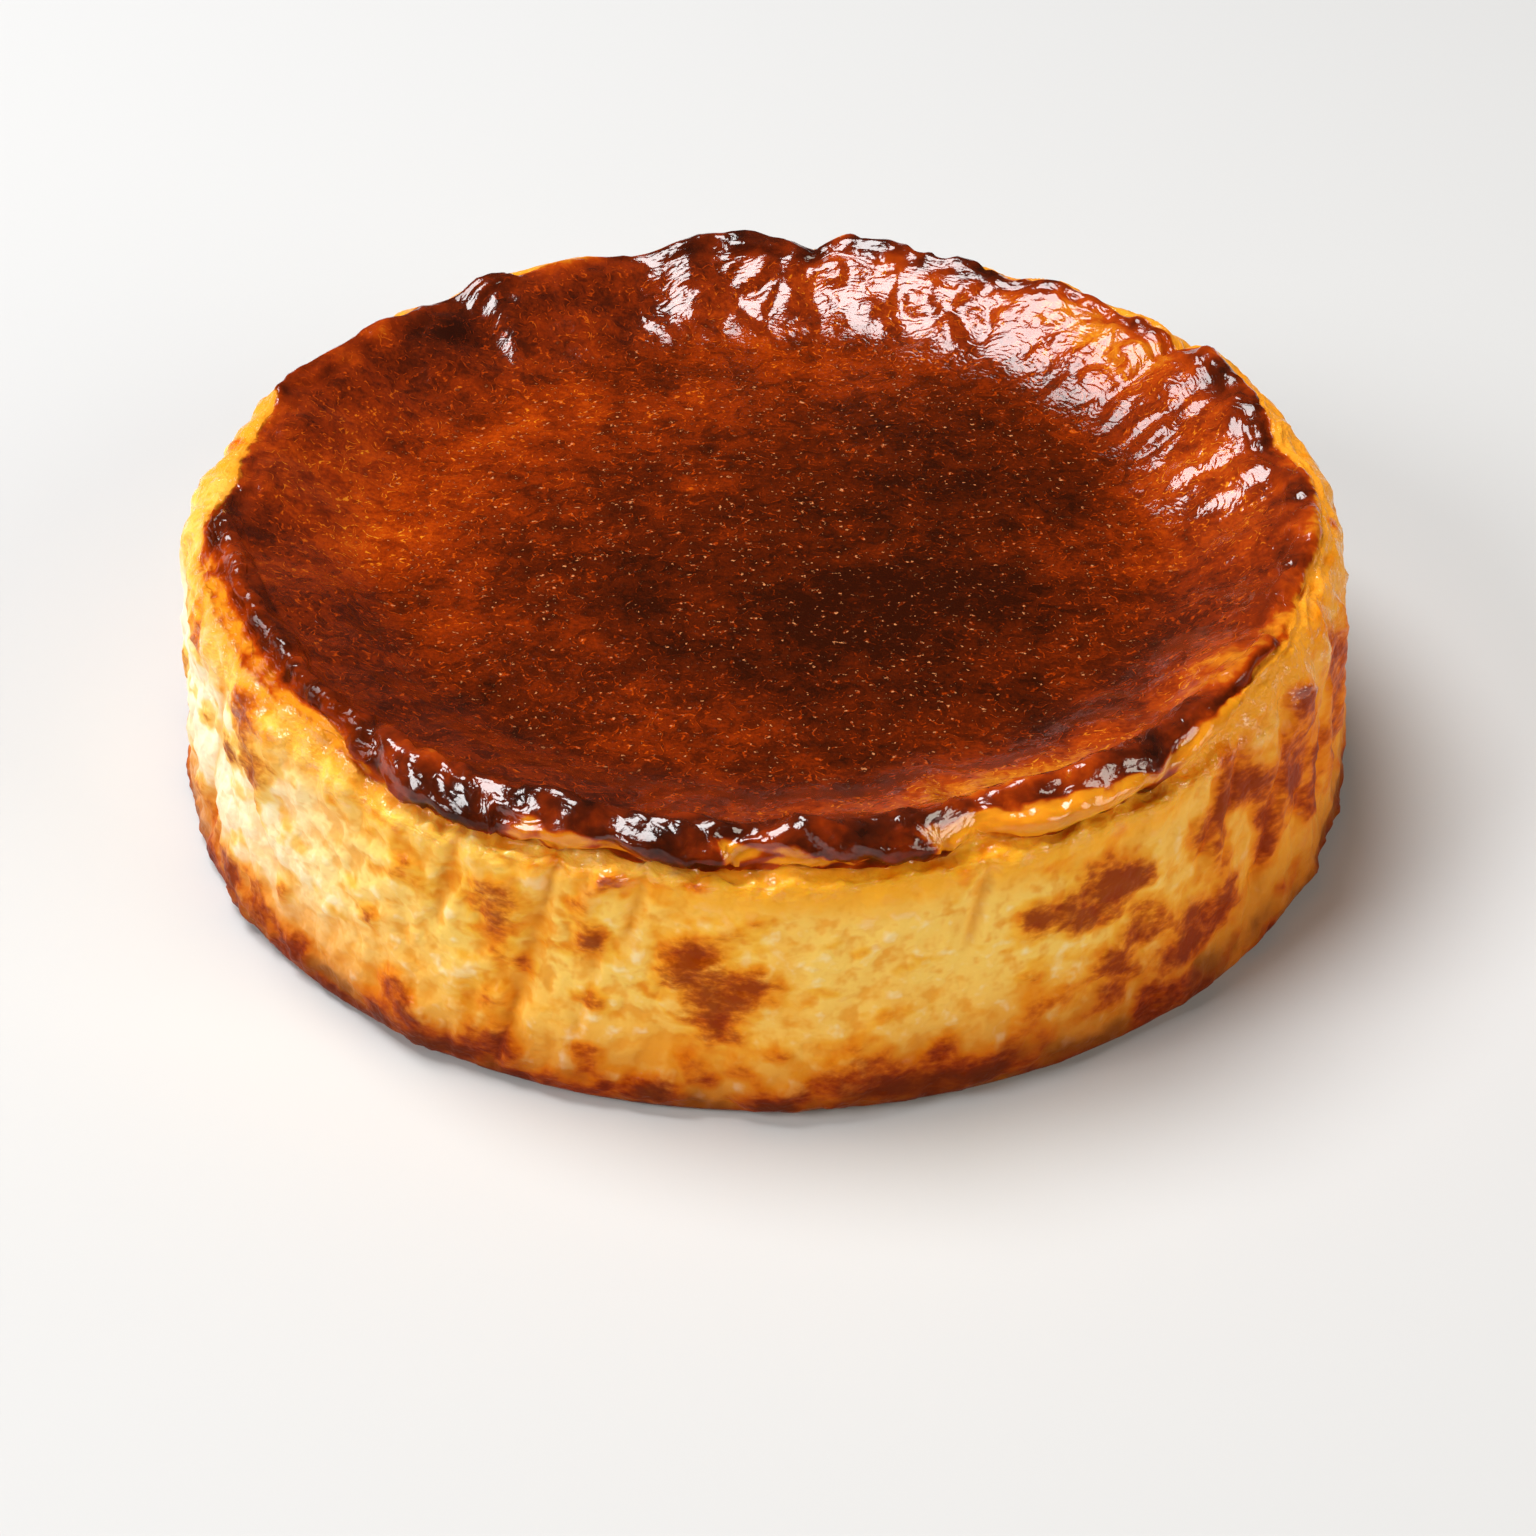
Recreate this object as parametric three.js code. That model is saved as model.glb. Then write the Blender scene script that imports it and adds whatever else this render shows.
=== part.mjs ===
// Burnt Basque cheesecake, whole and uncut: a sunken caramelised top inside a rolled crust rim,
// and a pale wall that the paper lining of the tin has creased.
// Millimetres, +Z up, origin at the middle of the underside.
// A turn is an angle in degrees about +Z: 0 is +X, 90 is the back (+Y) and 270 is the front.

import * as THREE from "three";

const { clamp, degToRad, euclideanModulo, lerp, smoothstep } = THREE.MathUtils;

// Driving dimensions
const BASE_DIAMETER = 230;
const RIM_HEIGHT = 56;
const LEDGE_HEIGHT = 47;
const BASIN_DEPTH = 12;
const WALL_LEAN = 0.1; // inwards for each millimetre of height
const CREST_INSET = 12; // from the base circle to the crest of the rim
const SLOPE_WIDTH = 34; // from the crest down to the floor of the basin
const FOOT_INSET = 4; // from the base circle to the flat underside
const FOOT_ROUND = 3.2; // height of the rounded bottom edge

const BASE_RADIUS = BASE_DIAMETER / 2;
const BASIN_HEIGHT = RIM_HEIGHT - BASIN_DEPTH;

// Where the rim runs further out or in than a circle
const CREST_SHIFTS = [
  { at: 275, width: 30, out: 2.6 },
  { at: 205, width: 22, out: -2.4 },
  { at: 18, width: 16, out: -2.2 },
  { at: 168, width: 14, out: -1.5 },
  { at: 82, width: 22, out: 1 },
];

// Where the rim stands higher or lower than its usual height
const CREST_LIFTS = [
  { at: 80, width: 26, up: -0.8 },
  { at: 280, width: 34, up: -0.6 },
  { at: 22, width: 9, up: 1.2 },
];

// Pinched folds across the rolled rim
const RIM_FOLDS = [
  { at: 8, width: 2.5, depth: 1.5 },
  { at: 33, width: 1.5, depth: 2.6 },
  { at: 58, width: 3, depth: 1.4 },
  { at: 84, width: 2.2, depth: 1.4 },
  { at: 104, width: 3, depth: 1.6 },
  { at: 130, width: 2.2, depth: 2 },
  { at: 139, width: 2, depth: 1.8 },
  { at: 163, width: 2.5, depth: 1.4 },
  { at: 192, width: 2.5, depth: 0.9 },
  { at: 216, width: 2, depth: 1.1 },
  { at: 228, width: 2, depth: 1.4 },
  { at: 240, width: 1.8, depth: 1.3 },
  { at: 257, width: 1.8, depth: 1.5 },
  { at: 269, width: 2.4, depth: 1.3 },
  { at: 289, width: 2.2, depth: 3.2 },
  { at: 313, width: 3, depth: 1.8 },
  { at: 331, width: 2.5, depth: 1 },
];

// At the front the crust rolls over the wall, and hangs lowest in a few drips
const FRONT_DRAPE = { from: 232, to: 316, soft: 8 };
const LIP_DRIPS = [
  { at: 237, width: 2, drop: 0.5 },
  { at: 247, width: 3, drop: 0.9 },
  { at: 265, width: 4, drop: 1.3 },
  { at: 280, width: 4.5, drop: 1.2 },
  { at: 296, width: 3, drop: 1 },
  { at: 306.5, width: 2.5, drop: 1.4 },
];
const DRAPE_LIP = { radius: 109, height: 51.6 };
const DRAPE_TUCK = { radius: 108.2, height: 48.3 };
const DRIP_DEPTH = 0.3; // inwards for each millimetre that a drip hangs down
const SHOULDER_RADIUS = 108.2; // outer edge of the rim where no crust hangs

// Along this run the rim stands up as a roll, with a steeper drop inside it
const ROLL_RUN = { from: 184, to: 318, soft: 7, drop: 1.4 };

// Strands of the twisted rim: each slants outwards over the roll from one station to another
const STRANDS = [
  { from: 184, to: 214, starts: 9.4, ends: 8.5 },
  { from: 206, to: 234, starts: 9.4, ends: 8 },
  { from: 229, to: 248, starts: 9.4, ends: 7.3 },
  { from: 246.5, to: 269, starts: 9.5, ends: 7.3 },
  { from: 268.5, to: 287, starts: 9.1, ends: 7.25 },
  { from: 289.5, to: 310, starts: 9.25, ends: 8.55 },
  { from: 290.5, to: 308, starts: 8.1, ends: 7.7 },
  { from: 309, to: 322, starts: 8.3, ends: 7.9 },
  { from: 311, to: 331, starts: 9, ends: 8.3 },
  { from: 334, to: 364, starts: 9.1, ends: 8.7 },
  { from: 14, to: 32, starts: 9.3, ends: 8.8 },
  { from: 60, to: 84, starts: 9.3, ends: 8.7 },
  { from: 82, to: 108, starts: 9.3, ends: 8.7 },
  { from: 120, to: 134, starts: 9.3, ends: 8.6 },
  { from: 134, to: 165, starts: 9.2, ends: 8.6 },
];
const STRAND_RISE = 1.7; // from the gap between strands to the top of one
const STRAND_REST = 0.4; // share of the rise that lies below the plain profile
const STRAND_END = 2.5; // degrees over which a strand's end fades out
const STRAND_REACH = { outer: 0.4, inner: 0.75 }; // in stations, to either side of its middle

// Upright creases in the wall, between two heights
const WALL_CREASES = [
  { at: 12, width: 1.6, depth: 1.2, low: 14, high: 46 },
  { at: 40, width: 1.8, depth: 1.1, low: 0, high: 40 },
  { at: 75, width: 1.6, depth: 1.2, low: 8, high: 47 },
  { at: 121, width: 1.8, depth: 1.3, low: 0, high: 42 },
  { at: 168, width: 1.6, depth: 1.2, low: 12, high: 47 },
  { at: 206, width: 1.5, depth: 1.1, low: 10, high: 44 },
  { at: 240.6, width: 0.8, depth: 1.1, low: 33, high: 47 },
  { at: 249.6, width: 0.9, depth: 1.4, low: 0, high: 47 },
  { at: 255.6, width: 0.7, depth: 0.6, low: 14, high: 32 },
  { at: 257.4, width: 0.7, depth: 1, low: 36, high: 47 },
  { at: 286.9, width: 0.8, depth: 1, low: 34, high: 46 },
  { at: 312.5, width: 0.9, depth: 0.9, low: 29, high: 46 },
  { at: 316, width: 0.9, depth: 1, low: 27, high: 46 },
  { at: 323.5, width: 1.2, depth: 1.2, low: 14, high: 46 },
  { at: 329.5, width: 1.2, depth: 1, low: 22, high: 42 },
  { at: 335, width: 1.5, depth: 1.3, low: 10, high: 46 },
];
const CREASE_END = 5; // height over which a crease fades out
const CREASE_LEAN = 0.13; // degrees of turn for each millimetre of height
const CREASE_MIDDLE = 27; // height at which a leaning crease is at its own turn

// Runs of close ripples, where the paper was gathered
const WALL_RIPPLES = [
  { from: 306, to: 20, soft: 14, lobes: 52, size: 0.55 },
  { from: 130, to: 206, soft: 14, lobes: 46, size: 0.6 },
];
const RIPPLE_SLANT = 4; // degrees of phase for each millimetre of height
const RIPPLE_RISE = { low: 2, high: 26, least: 0.3 }; // ripples grow from the foot to a height
const RIPPLE_WANDER = [
  { lobes: 7, size: 60, lag: 0 },
  { lobes: 11, size: 45, lag: 130 },
];

// Slow waves that no round thing made by hand is free of
const CREST_WANDER = [
  { lobes: 5, size: 0.5, lag: 120 },
  { lobes: 13, size: 0.45, lag: 310 },
  { lobes: 23, size: 0.4, lag: 30 },
];
const CREST_WAVES = [
  { lobes: 9, size: 0.35, lag: 40 },
  { lobes: 17, size: 0.35, lag: 200 },
  { lobes: 29, size: 0.3, lag: 75 },
];
const WALL_LOBES = [
  { lobes: 3, size: 0.4, lag: 60 },
  { lobes: 7, size: 0.45, lag: 200 },
  { lobes: 12, size: 0.35, lag: 20 },
  { lobes: 19, size: 0.25, lag: 150 },
];
// Gathers in the skin of the inner slope, which cross each other; twist is degrees for each millimetre inwards
const SLOPE_GATHERS = [
  { lobes: 19, size: 0.22, lag: 10, twist: 9 },
  { lobes: 27, size: 0.2, lag: 220, twist: -12 },
  { lobes: 34, size: 0.15, lag: 90, twist: 15 },
];
const GATHERED_SKIN = { from: 355, to: 160, soft: 25, more: 0.6 };
const BASIN_SWELL = { size: 0.5, across: 28, along: 33 };

// Stations along the profile, from the underside's edge over the rim to the floor of the basin
const HEEL = 1;
const WALL_START = 2;
const LEDGE = 6;
const TUCK = 7;
const CREST = 9;
const BRINK = 10;
const SLOPE = 11;
const FLOOR = 13;

// Fineness of the mesh: columns round the cake, and the rows at each station
const COLUMNS = 240;
const CENTRE_COLUMNS = 15;
const HALVINGS = Math.log2(COLUMNS / CENTRE_COLUMNS);
const FULL_ROWS = [0, 1, 2, 3, 3.5, 4, 4.5, 5, 6, 6.5, 7, 7.4, 7.8, 8.2, 8.6, 9, 9.3, 9.6, 10, 11, 12];

const total = (list, value) => list.reduce((sum, item) => sum + value(item), 0);

// Signed step from one turn to another, between -180 and 180 degrees
const turnStep = (turn, at) => euclideanModulo(turn - at + 180, 360) - 180;

// 1 at a feature's own turn, falling smoothly to 0 beyond its width
const bell = (turn, { at, width }) => Math.exp(-((turnStep(turn, at) / width) ** 2));

// 1 along a run of turns, with soft ends
function along(turn, { from, to, soft }) {
  const half = euclideanModulo(to - from, 360) / 2;
  const away = Math.abs(turnStep(turn, from + half));
  return 1 - smoothstep(away, half - soft, half + soft);
}

const waves = (turn, list) =>
  total(list, ({ lobes, size, lag }) => size * Math.cos(degToRad(lobes * turn - lag)));

// Radius of the wall before any crease, at a height
const wallRadius = (height) => BASE_RADIUS - WALL_LEAN * height;

// How far the wall stands out at one place, from its lobes, ripples and creases
function wallRelief(turn, height) {
  const rise = smoothstep(height, 0, FOOT_ROUND * 3);
  const lobes = waves(turn, WALL_LOBES);
  const phase = RIPPLE_SLANT * height + waves(turn, RIPPLE_WANDER);
  const gathered = lerp(RIPPLE_RISE.least, 1, smoothstep(height, RIPPLE_RISE.low, RIPPLE_RISE.high));
  const ripples = gathered * total(WALL_RIPPLES, (run) =>
    run.size * along(turn, run) * Math.cos(degToRad(run.lobes * turn + phase)));
  const creases = total(WALL_CREASES, (crease) => {
    const above = smoothstep(height, crease.low - CREASE_END, crease.low);
    const below = 1 - smoothstep(height, crease.high, crease.high + CREASE_END);
    const leaning = crease.at + CREASE_LEAN * (height - CREASE_MIDDLE);
    return crease.depth * bell(turn, { at: leaning, width: crease.width }) * above * below;
  });
  return rise * (lobes + ripples - creases);
}

// How far the skin of the inner slope stands up at one place
function slopeRelief(turn, radius) {
  const more = 1 + GATHERED_SKIN.more * along(turn, GATHERED_SKIN);
  return more * total(SLOPE_GATHERS, ({ lobes, size, lag, twist }) =>
    size * Math.cos(degToRad(lobes * turn - lag + twist * (BASE_RADIUS - radius))));
}

// How much of a strand of the rim runs through one place, from 0 to 1
function strandAt(turn, station) {
  const heights = STRANDS.map(({ from, to, starts, ends }) => {
    const share = clamp(turnStep(turn, from) / (to - from), 0, 1);
    const offset = station - lerp(starts, ends, share);
    const reach = offset < 0 ? STRAND_REACH.outer : STRAND_REACH.inner;
    const inside = along(turn, { from: from + STRAND_END, to: to - STRAND_END, soft: STRAND_END });
    return inside * Math.exp(-((offset / reach) ** 2));
  });
  return Math.max(...heights);
}

// The points of the profile at one turn, as (radius, 0, height)
function profile(turn) {
  const fold = total(RIM_FOLDS, (item) => item.depth * bell(turn, item));
  const drip = total(LIP_DRIPS, (item) => item.drop * bell(turn, item));
  const drape = along(turn, FRONT_DRAPE);
  const shift = total(CREST_SHIFTS, (item) => item.out * bell(turn, item));
  const lift = total(CREST_LIFTS, (item) => item.up * bell(turn, item));
  const wander = waves(turn, CREST_WANDER);
  const crestRadius = BASE_RADIUS - CREST_INSET + shift + wander - 0.6 * fold;
  const crestHeight = RIM_HEIGHT + lift + waves(turn, CREST_WAVES) - 0.7 * fold;

  const roll = ROLL_RUN.drop * along(turn, ROLL_RUN);

  const freeLip = lerp(crestRadius, SHOULDER_RADIUS, 0.45);
  const lipRadius = lerp(freeLip, DRAPE_LIP.radius - 0.5 * fold + 0.5 * wander, drape);
  const lipHeight = lerp(crestHeight - 0.9, DRAPE_LIP.height - 0.4 * drip, drape);
  const tuckRadius = lerp(SHOULDER_RADIUS, DRAPE_TUCK.radius - DRIP_DEPTH * drip, drape);
  const tuckHeight = lerp(crestHeight - 3.4, DRAPE_TUCK.height - drip, drape);

  const points = [
    [BASE_RADIUS - FOOT_INSET, 0],
    [BASE_RADIUS - 0.8, 0.3 * FOOT_ROUND],
    [BASE_RADIUS, FOOT_ROUND],
    [wallRadius(17), 17],
    [wallRadius(32), 32],
    [wallRadius(41), 41],
    [wallRadius(LEDGE_HEIGHT), LEDGE_HEIGHT],
    [tuckRadius, tuckHeight],
    [lipRadius, lipHeight],
    [crestRadius, crestHeight],
    [crestRadius - 6 + roll, crestHeight - 2 - roll],
    [crestRadius - 14, crestHeight - 6.5],
    [crestRadius - 24, BASIN_HEIGHT + 1.5],
    [BASE_RADIUS - CREST_INSET - SLOPE_WIDTH, BASIN_HEIGHT + 0.2],
  ];
  return points.map(([radius, height]) => new THREE.Vector3(radius, 0, height));
}

// Height of the basin's floor, which swells a little
function basinHeight(x, y) {
  const { size, across, along: lengthwise } = BASIN_SWELL;
  return BASIN_HEIGHT + size * Math.cos(x / across + 0.6) * Math.cos(y / lengthwise - 0.4);
}

// One point of the skin; stations below 0 lie on the underside and above FLOOR in the basin
function skinPoint(turn, station) {
  const angle = degToRad(turn);
  const points = profile(turn);
  const place = new THREE.Vector3();
  let radius;
  if (station < 0) {
    radius = points[0].x * (1 + station);
  } else if (station >= FLOOR) {
    radius = points[FLOOR].x * (FLOOR + 1 - station);
  } else {
    new THREE.CatmullRomCurve3(points).getPoint(station / FLOOR, place);
    const onWall = smoothstep(station, HEEL, WALL_START) * (1 - smoothstep(station, LEDGE, CREST));
    const onSlope = smoothstep(station, CREST, SLOPE) * (1 - smoothstep(station, SLOPE, FLOOR));
    radius = place.x + onWall * wallRelief(turn, place.z);
    place.z += onSlope * slopeRelief(turn, radius);
    const onLip = smoothstep(station, LEDGE + 0.4, TUCK + 0.3) * (1 - smoothstep(station, CREST + 0.4, BRINK));
    const push = STRAND_RISE * onLip * (strandAt(turn, station) - STRAND_REST);
    const facing = degToRad(42.5 * clamp(station - TUCK, 0, BRINK - TUCK)); // outwards at the tuck, up at the crest
    radius += push * Math.cos(facing);
    place.z += push * Math.sin(facing);
  }
  const x = radius * Math.cos(angle);
  const y = radius * Math.sin(angle);
  const onFloor = smoothstep(station, SLOPE, FLOOR);
  return [x, y, lerp(place.z, basinHeight(x, y), onFloor)];
}

// Rows of the mesh, from the middle of the underside to the middle of the basin:
// the columns double towards the edge and halve again towards the centre
function meshRows() {
  const rows = [];
  for (let step = 0; step < HALVINGS; step += 1) {
    rows.push({ station: ((step + 1) / HALVINGS) ** 0.6 * 0.95 - 1, columns: CENTRE_COLUMNS * 2 ** step });
  }
  FULL_ROWS.forEach((station) => rows.push({ station, columns: COLUMNS }));
  for (let step = 0; step < HALVINGS; step += 1) {
    rows.push({ station: FLOOR + (step / HALVINGS) ** 1.2, columns: COLUMNS / 2 ** (step + 1) });
  }
  return rows;
}

// Triangles between two neighbouring rows, which have as many columns or twice as many
function joinRows(lower, upper, faces) {
  const coarse = Math.min(lower.columns, upper.columns);
  const at = (row, column) => row.first + (column % row.columns);
  for (let j = 0; j < coarse; j += 1) {
    if (lower.columns === upper.columns) {
      faces.push(at(lower, j), at(lower, j + 1), at(upper, j + 1));
      faces.push(at(lower, j), at(upper, j + 1), at(upper, j));
    } else if (lower.columns > upper.columns) {
      faces.push(at(lower, 2 * j), at(lower, 2 * j + 1), at(upper, j));
      faces.push(at(lower, 2 * j + 1), at(upper, j + 1), at(upper, j));
      faces.push(at(lower, 2 * j + 1), at(lower, 2 * j + 2), at(upper, j + 1));
    } else {
      faces.push(at(lower, j), at(upper, 2 * j + 1), at(upper, 2 * j));
      faces.push(at(lower, j), at(lower, j + 1), at(upper, 2 * j + 1));
      faces.push(at(lower, j + 1), at(upper, 2 * j + 2), at(upper, 2 * j + 1));
    }
  }
}

function cakeGeometry() {
  const points = [[0, 0, 0]];
  const faces = [];
  const rows = meshRows();
  rows.forEach((row) => {
    row.first = points.length;
    for (let column = 0; column < row.columns; column += 1) {
      points.push(skinPoint((360 * column) / row.columns, row.station));
    }
  });
  const crown = points.length;
  points.push([0, 0, basinHeight(0, 0)]);

  const first = rows[0];
  const last = rows[rows.length - 1];
  for (let column = 0; column < CENTRE_COLUMNS; column += 1) {
    const next = (column + 1) % CENTRE_COLUMNS;
    faces.push(0, first.first + next, first.first + column);
    faces.push(last.first + column, last.first + next, crown);
  }
  rows.slice(1).forEach((row, i) => joinRows(rows[i], row, faces));

  const geometry = new THREE.BufferGeometry();
  geometry.setAttribute("position", new THREE.Float32BufferAttribute(points.flat(), 3));
  geometry.setIndex(faces);
  geometry.computeVertexNormals();
  return geometry;
}

const bakedCustard = new THREE.MeshStandardMaterial({ color: 0xb4702c, roughness: 0.4, metalness: 0 });

const cheesecake = new THREE.Mesh(cakeGeometry(), bakedCustard);
cheesecake.name = "cheesecake";

const cake = new THREE.Group();
cake.add(cheesecake);

export default cake;
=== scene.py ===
"""A whole burnt Basque cheesecake: sunken glossy top, rolled crust rim and a pale, creased, scorched wall.

The file is laid out as an add-on. Its settings hold heights and colours, and its operators make the
cake and the stage. Shapes are worked out in millimetres and written to the mesh in metres.
A turn is an angle in degrees about +Z: 0 is +X, 90 is the back and 270 is the front.
"""

import bpy
import numpy as np
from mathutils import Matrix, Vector


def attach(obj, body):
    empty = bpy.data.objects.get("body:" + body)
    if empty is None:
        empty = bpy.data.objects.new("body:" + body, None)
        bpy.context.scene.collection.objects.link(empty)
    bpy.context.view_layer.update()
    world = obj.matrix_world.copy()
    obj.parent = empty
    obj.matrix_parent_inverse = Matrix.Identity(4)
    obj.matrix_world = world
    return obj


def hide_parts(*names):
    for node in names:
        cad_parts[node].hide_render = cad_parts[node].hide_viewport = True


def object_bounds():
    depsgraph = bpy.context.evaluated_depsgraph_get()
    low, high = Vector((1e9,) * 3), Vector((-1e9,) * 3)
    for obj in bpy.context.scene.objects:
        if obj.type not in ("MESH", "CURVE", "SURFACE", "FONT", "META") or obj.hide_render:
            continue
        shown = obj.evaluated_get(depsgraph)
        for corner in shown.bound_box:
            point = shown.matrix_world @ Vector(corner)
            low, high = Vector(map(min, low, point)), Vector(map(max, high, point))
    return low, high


bl_info = {
    "name": "Burnt cheesecake",
    "version": (1, 0, 0),
    "blender": (4, 5, 0),
    "location": "View3D > Sidebar > Cheesecake",
    "description": "Builds a whole burnt cheesecake and the studio stage it stands on",
    "category": "Add Mesh",
}

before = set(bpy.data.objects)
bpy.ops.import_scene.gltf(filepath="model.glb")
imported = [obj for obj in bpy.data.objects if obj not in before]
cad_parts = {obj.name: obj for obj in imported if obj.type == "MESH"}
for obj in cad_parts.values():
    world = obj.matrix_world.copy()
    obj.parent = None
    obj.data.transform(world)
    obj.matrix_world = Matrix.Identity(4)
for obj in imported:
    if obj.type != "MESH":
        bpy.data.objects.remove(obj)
CAD_LOW, CAD_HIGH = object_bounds()
CAKE_NODE = "cheesecake"
CAKE_BODY = "root"
MM = 0.001

# Sizes in millimetres, from the frame: radius at the foot, usual height of the rim, height of the basin
RIM_SHARE = 0.967
BASIN_DEPTH = 12
BASE_RADIUS = min(CAD_HIGH.x - CAD_LOW.x, CAD_HIGH.y - CAD_LOW.y) / MM / 2
RIM_HEIGHT = RIM_SHARE * (CAD_HIGH.z - CAD_LOW.z) / MM
BASIN_HEIGHT = RIM_HEIGHT - BASIN_DEPTH

# Ledge under the rim, lean of the wall per millimetre of height, and widths of the shoulder, slope and foot
LEDGE_HEIGHT = 47.0
WALL_LEAN = 0.1
CREST_INSET = 12
SLOPE_WIDTH = 34
FOOT_INSET = 4
FOOT_ROUND = 3.2
HEEL_INSET = 0.8

# Heights of the profile's points on the wall below the ledge
WALL_HEIGHTS = (17, 32, 41)

# Steps inwards and down from the crest to the brink and to the slope, and drops to the lip and to the tuck
BRINK_STEP = (6, 2)
SLOPE_STEP = (14, 6.5)
LIP_DROP = 0.9
TUCK_DROP = 3.4

# Foot of the slope (inwards from the crest, above the basin), and how far the floor's edge is above the basin
TOE_STEP = (24, 1.5)
FLOOR_STEP = 0.2

# Where the rim runs further out or stands higher than usual: turn, width, amount
CREST_SHIFTS = ((275, 30, 2.6), (205, 22, -2.4), (18, 16, -2.2), (168, 14, -1.5), (82, 22, 1.0))
CREST_LIFTS = ((80, 26, -0.8), (280, 34, -0.6), (22, 9, 1.2))

# Pinched folds across the rolled rim (turn, width, depth), and how far they pull the crest in and down
FOLD_PULL = (0.6, 0.7)
RIM_FOLDS = (
    (8, 2.5, 1.5), (33, 1.5, 2.6), (58, 3, 1.4), (84, 2.2, 1.4), (104, 3, 1.6), (130, 2.2, 2.0),
    (139, 2, 1.8), (163, 2.5, 1.4), (192, 2.5, 0.9), (216, 2, 1.1), (228, 2, 1.4), (240, 1.8, 1.3),
    (257, 1.8, 1.5), (269, 2.4, 1.3), (289, 2.2, 3.2), (313, 3, 1.8), (331, 2.5, 1.0),
)

# Front run where the crust rolls over the wall, and the radius and height of its lip and of its tuck
FRONT_DRAPE = (232, 316, 8)
DRAPE_LIP = (109.0, 51.6)
DRAPE_TUCK = (108.2, 48.3)
SHOULDER_RADIUS = 108.2

# Drips where it hangs lowest (turn, width, drop), how far they reach in, and the waves of its hem
LIP_DRIPS = ((247, 3, 0.9), (265, 4, 1.3), (280, 4.5, 1.2), (296, 3, 1.0), (306.5, 2.5, 1.4), (237, 2, 0.5))
DRIP_DEPTH = 0.3
HEM_WAVES = ((41, 0.28, 20), (67, 0.26, 200), (97, 0.22, 100), (139, 0.16, 310))

# Along this run the rim stands up as a roll, with a steeper drop inside it: first and last turn, soft end
ROLL_RUN = (184, 318, 7)
ROLL_DROP = 1.4

# Strands of the twisted rim: first and last turn, first and last station
STRANDS = (
    (184, 214, 9.4, 8.5), (206, 234, 9.4, 8.0), (229, 248, 9.4, 7.3), (246.5, 269, 9.5, 7.3),
    (268.5, 287, 9.1, 7.25), (289.5, 310, 9.25, 8.55), (311, 331, 9.0, 8.3), (334, 364, 9.1, 8.7),
    (14, 32, 9.3, 8.8), (60, 84, 9.3, 8.7), (82, 108, 9.3, 8.7), (120, 134, 9.3, 8.6),
    (134, 165, 9.2, 8.6),
)

# Paler strands that lie under them
FLESH_STRANDS = ((290.5, 308, 8.1, 7.7), (309, 322, 8.3, 7.9))

# A strand's rise, sunk share, tapered end, usual station, outer and inner reach, and upward turn per station
STRAND_RISE = 1.7
STRAND_SUNK = 0.4
STRAND_END = 2.5
STRAND_MIDDLE = 8.7
STRAND_REACHES = (0.4, 0.75)
STRAND_FACING = 42.5

# Upright creases in the wall: turn, width, depth, lowest and highest height
WALL_CREASES = (
    (12, 1.6, 1.2, 14, 46), (40, 1.8, 1.1, 0, 40), (75, 1.6, 1.2, 8, 47), (121, 1.8, 1.3, 0, 42),
    (168, 1.6, 1.2, 12, 47), (206, 1.5, 1.1, 10, 44), (240.6, 0.8, 1.1, 33, 47),
    (249.6, 0.9, 1.4, 0, 47), (255.6, 0.7, 0.6, 14, 32), (257.4, 0.7, 1.0, 36, 47),
    (286.9, 0.8, 1.0, 34, 46), (312.5, 0.9, 0.9, 29, 46), (316, 0.9, 1.0, 27, 46),
    (323.5, 1.2, 1.2, 14, 46), (329.5, 1.2, 1.0, 22, 42), (335, 1.5, 1.3, 10, 46),
)

# A crease's tapered ends, lean per millimetre, height where it is at its own turn, and the share of its width
# drawn as a line of painted shade and bump
CREASE_END = 5
CREASE_LEAN = 0.13
CREASE_MIDDLE = 27
CREASE_LINE = 0.65

# Runs of close ripples where the paper was gathered: first and last turn, soft end, lobes, size
WALL_RIPPLES = ((306, 20, 14, 52, 0.55), (130, 206, 14, 46, 0.6))

# Their slant in degrees per millimetre, the heights over which they grow, and how they wander
RIPPLE_SLANT = 4
RIPPLE_RISE = (2, 26)
RIPPLE_WANDER = ((7, 60, 0), (11, 45, 130))

# Slow waves: lobes, size, lag in degrees, and for the gathers the twist in degrees per millimetre inwards
CREST_WANDER = ((5, 0.5, 120), (13, 0.45, 310), (23, 0.4, 30))
CREST_WAVES = ((9, 0.35, 40), (17, 0.35, 200), (29, 0.3, 75))
WALL_LOBES = ((3, 0.4, 60), (7, 0.45, 200), (12, 0.35, 20), (19, 0.25, 150))
SLOPE_GATHERS = ((19, 0.22, 10, 9), (27, 0.2, 220, -12), (34, 0.15, 90, 15))

# Run where the slope is more gathered, and by how much
GATHERED_SKIN = (355, 160, 25)
GATHERED_MORE = 0.6

# Swell of the basin's floor: size, then length and lag across and lengthwise
BASIN_SWELL = (0.5, 28, 0.6, 33, -0.4)

# Stations along the profile, from the edge of the underside over the rim to the floor of the basin
HEEL, WALL_START, LEDGE, TUCK, LIP, CREST, BRINK, SLOPE, FLOOR = 1, 2, 6, 7, 8, 9, 10, 11, 13

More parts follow.
